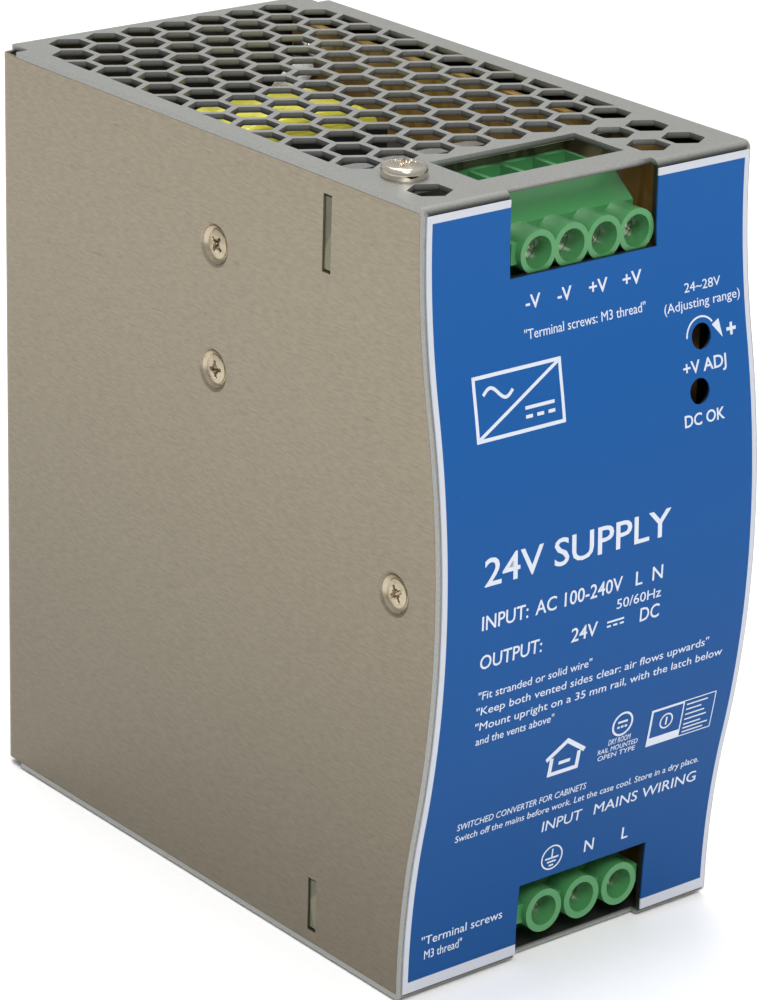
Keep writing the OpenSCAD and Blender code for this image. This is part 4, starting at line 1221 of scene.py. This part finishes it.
@dataclass
class WoundParts:
    """Coils, ring chokes and capacitors that show through the vents. Places are case millimetres."""

    taped: tuple[TapedCoil, ...] = (
        TapedCoil("transformer_winding", (10.0, 60.0, 85.0), (45.0, 32.0, 24.0), 6.0, 8.8, 0.5),
        TapedCoil("boost_choke_winding", (17.0, 62.0, 10.0), (38.0, 26.0, 22.0), 5.0, 4.5, 0.3),
    )
    line_ring: tuple[float, float, float] = (47.0, 44.0, 18.0)
    output_ring: tuple[float, float, float] = (48.0, 41.5, 54.0)
    output_ring_r: float = 8.0
    output_core_r: float = 2.95
    board_x: float = 56.6
    ring_steps: int = 96

    def collar(self, low: Array, high: Array, hole_low: Array, hole_high: Array, edge: float,
               ) -> tuple[Array, Array]:
        """A coil round a leg along Y: at each angle a section with round corners runs from the hole outwards.

        Outlines are superellipses, x = a |cos|^(2/n) and z = b |sin|^(2/n) with their signs, with n = 5.5
        outside and n = 9 inside.

        Args:
            low: Lowest corner of the coil.
            high: Highest corner of the coil.
            hole_low: Lowest corner of its hole.
            hole_high: Highest corner of its hole.
            edge: Radius of the section's corners.

        Returns:
            Points and faces in metres.
        """
        a = np.linspace(0, 2 * np.pi, self.ring_steps, endpoint=False)

        def outline(one: Array, two: Array, power: float) -> Array:
            middle, half = (one + two) / 2, (two - one) / 2
            c, s = np.cos(a), np.sin(a)
            return np.stack([middle[0] + half[0] * np.sign(c) * np.abs(c) ** (2 / power),
                             middle[2] + half[2] * np.sign(s) * np.abs(s) ** (2 / power)], -1)

        inner, outer = outline(hole_low, hole_high, 9.0), outline(low, high, 5.5)
        thick = np.linalg.norm(outer - inner, axis=1)[:, None]
        b = np.linspace(0, np.pi / 2, 5)
        back, inset = edge * (1 - np.cos(b)), edge * (1 - np.sin(b))
        y = np.concatenate([low[1:2], low[1] + back, high[1] - back[::-1], high[1:2]])
        share = 1 - np.concatenate([inset, inset[::-1]]) / thick
        share = np.pad(share, ((0, 0), (1, 1)))
        xz = inner[:, None, :] + share[..., None] * (outer - inner)[:, None, :]
        points = np.stack([xz[..., 0], np.repeat(y[None, :], len(a), 0), xz[..., 1]], -1)
        n, m = points.shape[:2]
        r, c = np.meshgrid(np.arange(n), np.arange(m), indexing="ij")
        r2, c2 = (r + 1) % n, (c + 1) % m
        faces = np.stack([r * m + c, r * m + c2, r2 * m + c2, r2 * m + c], -1).reshape(-1, 4)
        return CASE.place(points.reshape(-1, 3)), faces

    def coils(self) -> None:
        """Taped coils round the middle legs of the two block cores."""
        gap, edge = 0.3, 1.2
        for coil in self.taped:
            at, size = np.array(coil.core_at), np.array(coil.core_size)
            back, middle, leg = size[1] / 4 + coil.inset, size[0] / 2, coil.leg + gap
            low = at + (leg, back, -coil.proud)
            high = at + (size[0] - leg, size[1] - back, size[2] + coil.proud)
            hole_low, hole_high = at + (middle - leg, 0, -gap), at + (middle + leg, 0, size[2] + gap)
            collar = self.collar(low, high, hole_low, hole_high, edge)
            piece = Workshop.mesh(f"{coil.node}_taped", [collar], 50.0)
            Workshop.fit(piece, "case", Paints.winding_tape.finish, "winding_tape", coil.node)

    @staticmethod
    def wound(centre: Sequence[float], mean_r: float, coil_r: float, wire_r: float, start: float, end: float,
              turns: int) -> tuple[Array, Array]:
        """Wire round a ring whose axis is X: centre + (mean_r + coil_r cos b) e(a) + coil_r sin b x.

        Args:
            centre: Middle of the ring.
            mean_r: Radius of the ring's centre line.
            coil_r: Radius of one turn's centre line.
            wire_r: Radius of the wire.
            start: Angle a in degrees at the first turn.
            end: Angle a in degrees at the last turn.
            turns: How many full circles b makes.

        Returns:
            Points and faces in metres.
        """
        t = np.linspace(0, 1, turns * 22)
        a, b = np.radians(start + (end - start) * t), 2 * np.pi * turns * t
        reach = mean_r + coil_r * np.cos(b)
        path = np.stack([coil_r * np.sin(b), reach * np.sin(a), reach * np.cos(a)], -1) + centre
        return Shape.tube(CASE.place(path), wire_r * MM, 8)

    def ring_chokes(self) -> None:
        """The line choke's two windings, and the output choke's core and all-round winding."""
        copper = Paints.copper_wire.finish
        parts = [self.wound(self.line_ring, 8.5, 3.75, 0.6, mid - 52, mid + 52, 9) for mid in (0, 180)]
        piece = Workshop.mesh("line_choke_wire", parts, 60.0)
        Workshop.fit(piece, "case", copper, "copper_wire", "line_choke_windings")
        a = np.linspace(0, 2 * np.pi, 72, endpoint=False)
        path = np.stack([0 * a, np.sin(a), np.cos(a)], -1) * self.output_ring_r + self.output_ring
        ring = Shape.tube(CASE.place(path), self.output_core_r * MM, 20, True)
        core = Workshop.mesh("output_choke_ring", [ring], 60.0)
        Workshop.fit(core, "case", Paints.coated_core.finish, "coated_core", "output_choke")
        turns = self.wound(self.output_ring, self.output_ring_r, 3.5, 0.48, 8, 340, 30)
        wire = Workshop.mesh("output_choke_wire", [turns], 60.0)
        Workshop.fit(wire, "case", copper, "copper_wire")

    @staticmethod
    def can(at: Sequence[float], r: float, length: float) -> tuple[tuple[Array, Array], tuple[Array, Array]]:
        """A can capacitor along -X: its turned sleeve and base, and its bare top with a crossed score.

        The score lowers the top by 0.12 max(exp(-(x / w)^2), exp(-(y / w)^2)) within 0.72 r of its middle.

        Args:
            at: Middle of its foot on the board.
            r: Radius.
            length: Length.

        Returns:
            The sleeve, and the top.
        """
        turn = Vector((-1, 0, 0)).to_track_quat("Z", "Y").to_matrix()
        rim, score_w = 1.5, 0.35
        sleeve = [(0, 0.3), (r - 0.6, 0.3), (r - 0.1, 0.6), (r, 1.3), (r - 0.1, 1.7), (r - 0.55, 2.3),
                  (r - 0.1, 2.9), (r, 3.3), (r, length - 1.0), (r - 0.12, length - 0.5),
                  (r - 0.5, length - 0.12), (r - 1.1, length), (r - rim, length - 0.05),
                  (r - rim, length - 0.3), (0, length - 0.3)]
        points, faces = Shape.revolve(sleeve, 56)
        rings, steps, edge = 16, 72, r - rim - 0.02
        flat = zip(np.linspace(0, edge, rings), np.full(rings, length - 0.12))
        top, top_faces = Shape.revolve([*flat, (edge, length - 0.28), (0, length - 0.28)], steps)
        x, y = top[:rings * steps, 0], top[:rings * steps, 1]
        score = np.maximum(np.exp(-(x / score_w) ** 2), np.exp(-(y / score_w) ** 2))
        top[:rings * steps, 2] -= 0.12 * score * (np.hypot(x, y) < r * 0.72)
        points, top = (CASE.place(Shape.turned(p, turn, at)) for p in (points, top))
        return (points, faces), (top, top_faces)

    def capacitors(self) -> None:
        """Shrunk sleeves with rolled rims over aluminium cans."""
        big = [self.can((self.board_x, 75, 57), 14.5, 45.0)]
        small = [self.can((self.board_x, 30, z), 5.0, 21.0) for z in (75, 86, 97, 108)]
        for name, cans in (("bulk_capacitor", big), ("output_capacitors", small)):
            sleeves, tops = (Workshop.mesh(f"{name}_{part}", parts, 50.0)
                             for part, parts in zip(("sleeved", "tops"), zip(*cans)))
            Workshop.fit(sleeves, "case", Paints.capacitor_sleeve.finish, "capacitor_sleeve", name)
            Workshop.fit(tops, "case", Paints.heatsink_metal.finish, "heatsink_metal")

    def build(self) -> None:
        """Makes all wound and canned parts."""
        self.coils()
        self.ring_chokes()
        self.capacitors()


def dress_nodes() -> None:
    """Gives every CAD node the finish of its slot, except the front board, whose laminate is greener."""
    slots = {part["node"]: part["material_slot"] for part in frame["record"]["subparts"]}
    for name, piece in frame["nodes"].items():
        finish = (Paints.front_laminate if name == "front_board" else Paints[slots[name]]).finish
        for holder in piece.material_slots:
            holder.material = finish.material()


def main() -> None:
    """Builds everything in order."""
    logging.basicConfig(level=logging.INFO, format="%(message)s")
    StudioStand().build()
    dress_nodes()
    Screws().build()
    LabelPrint().build()
    LatchSpring().build()
    WoundParts().build()


if __name__ == "__main__":
    main()
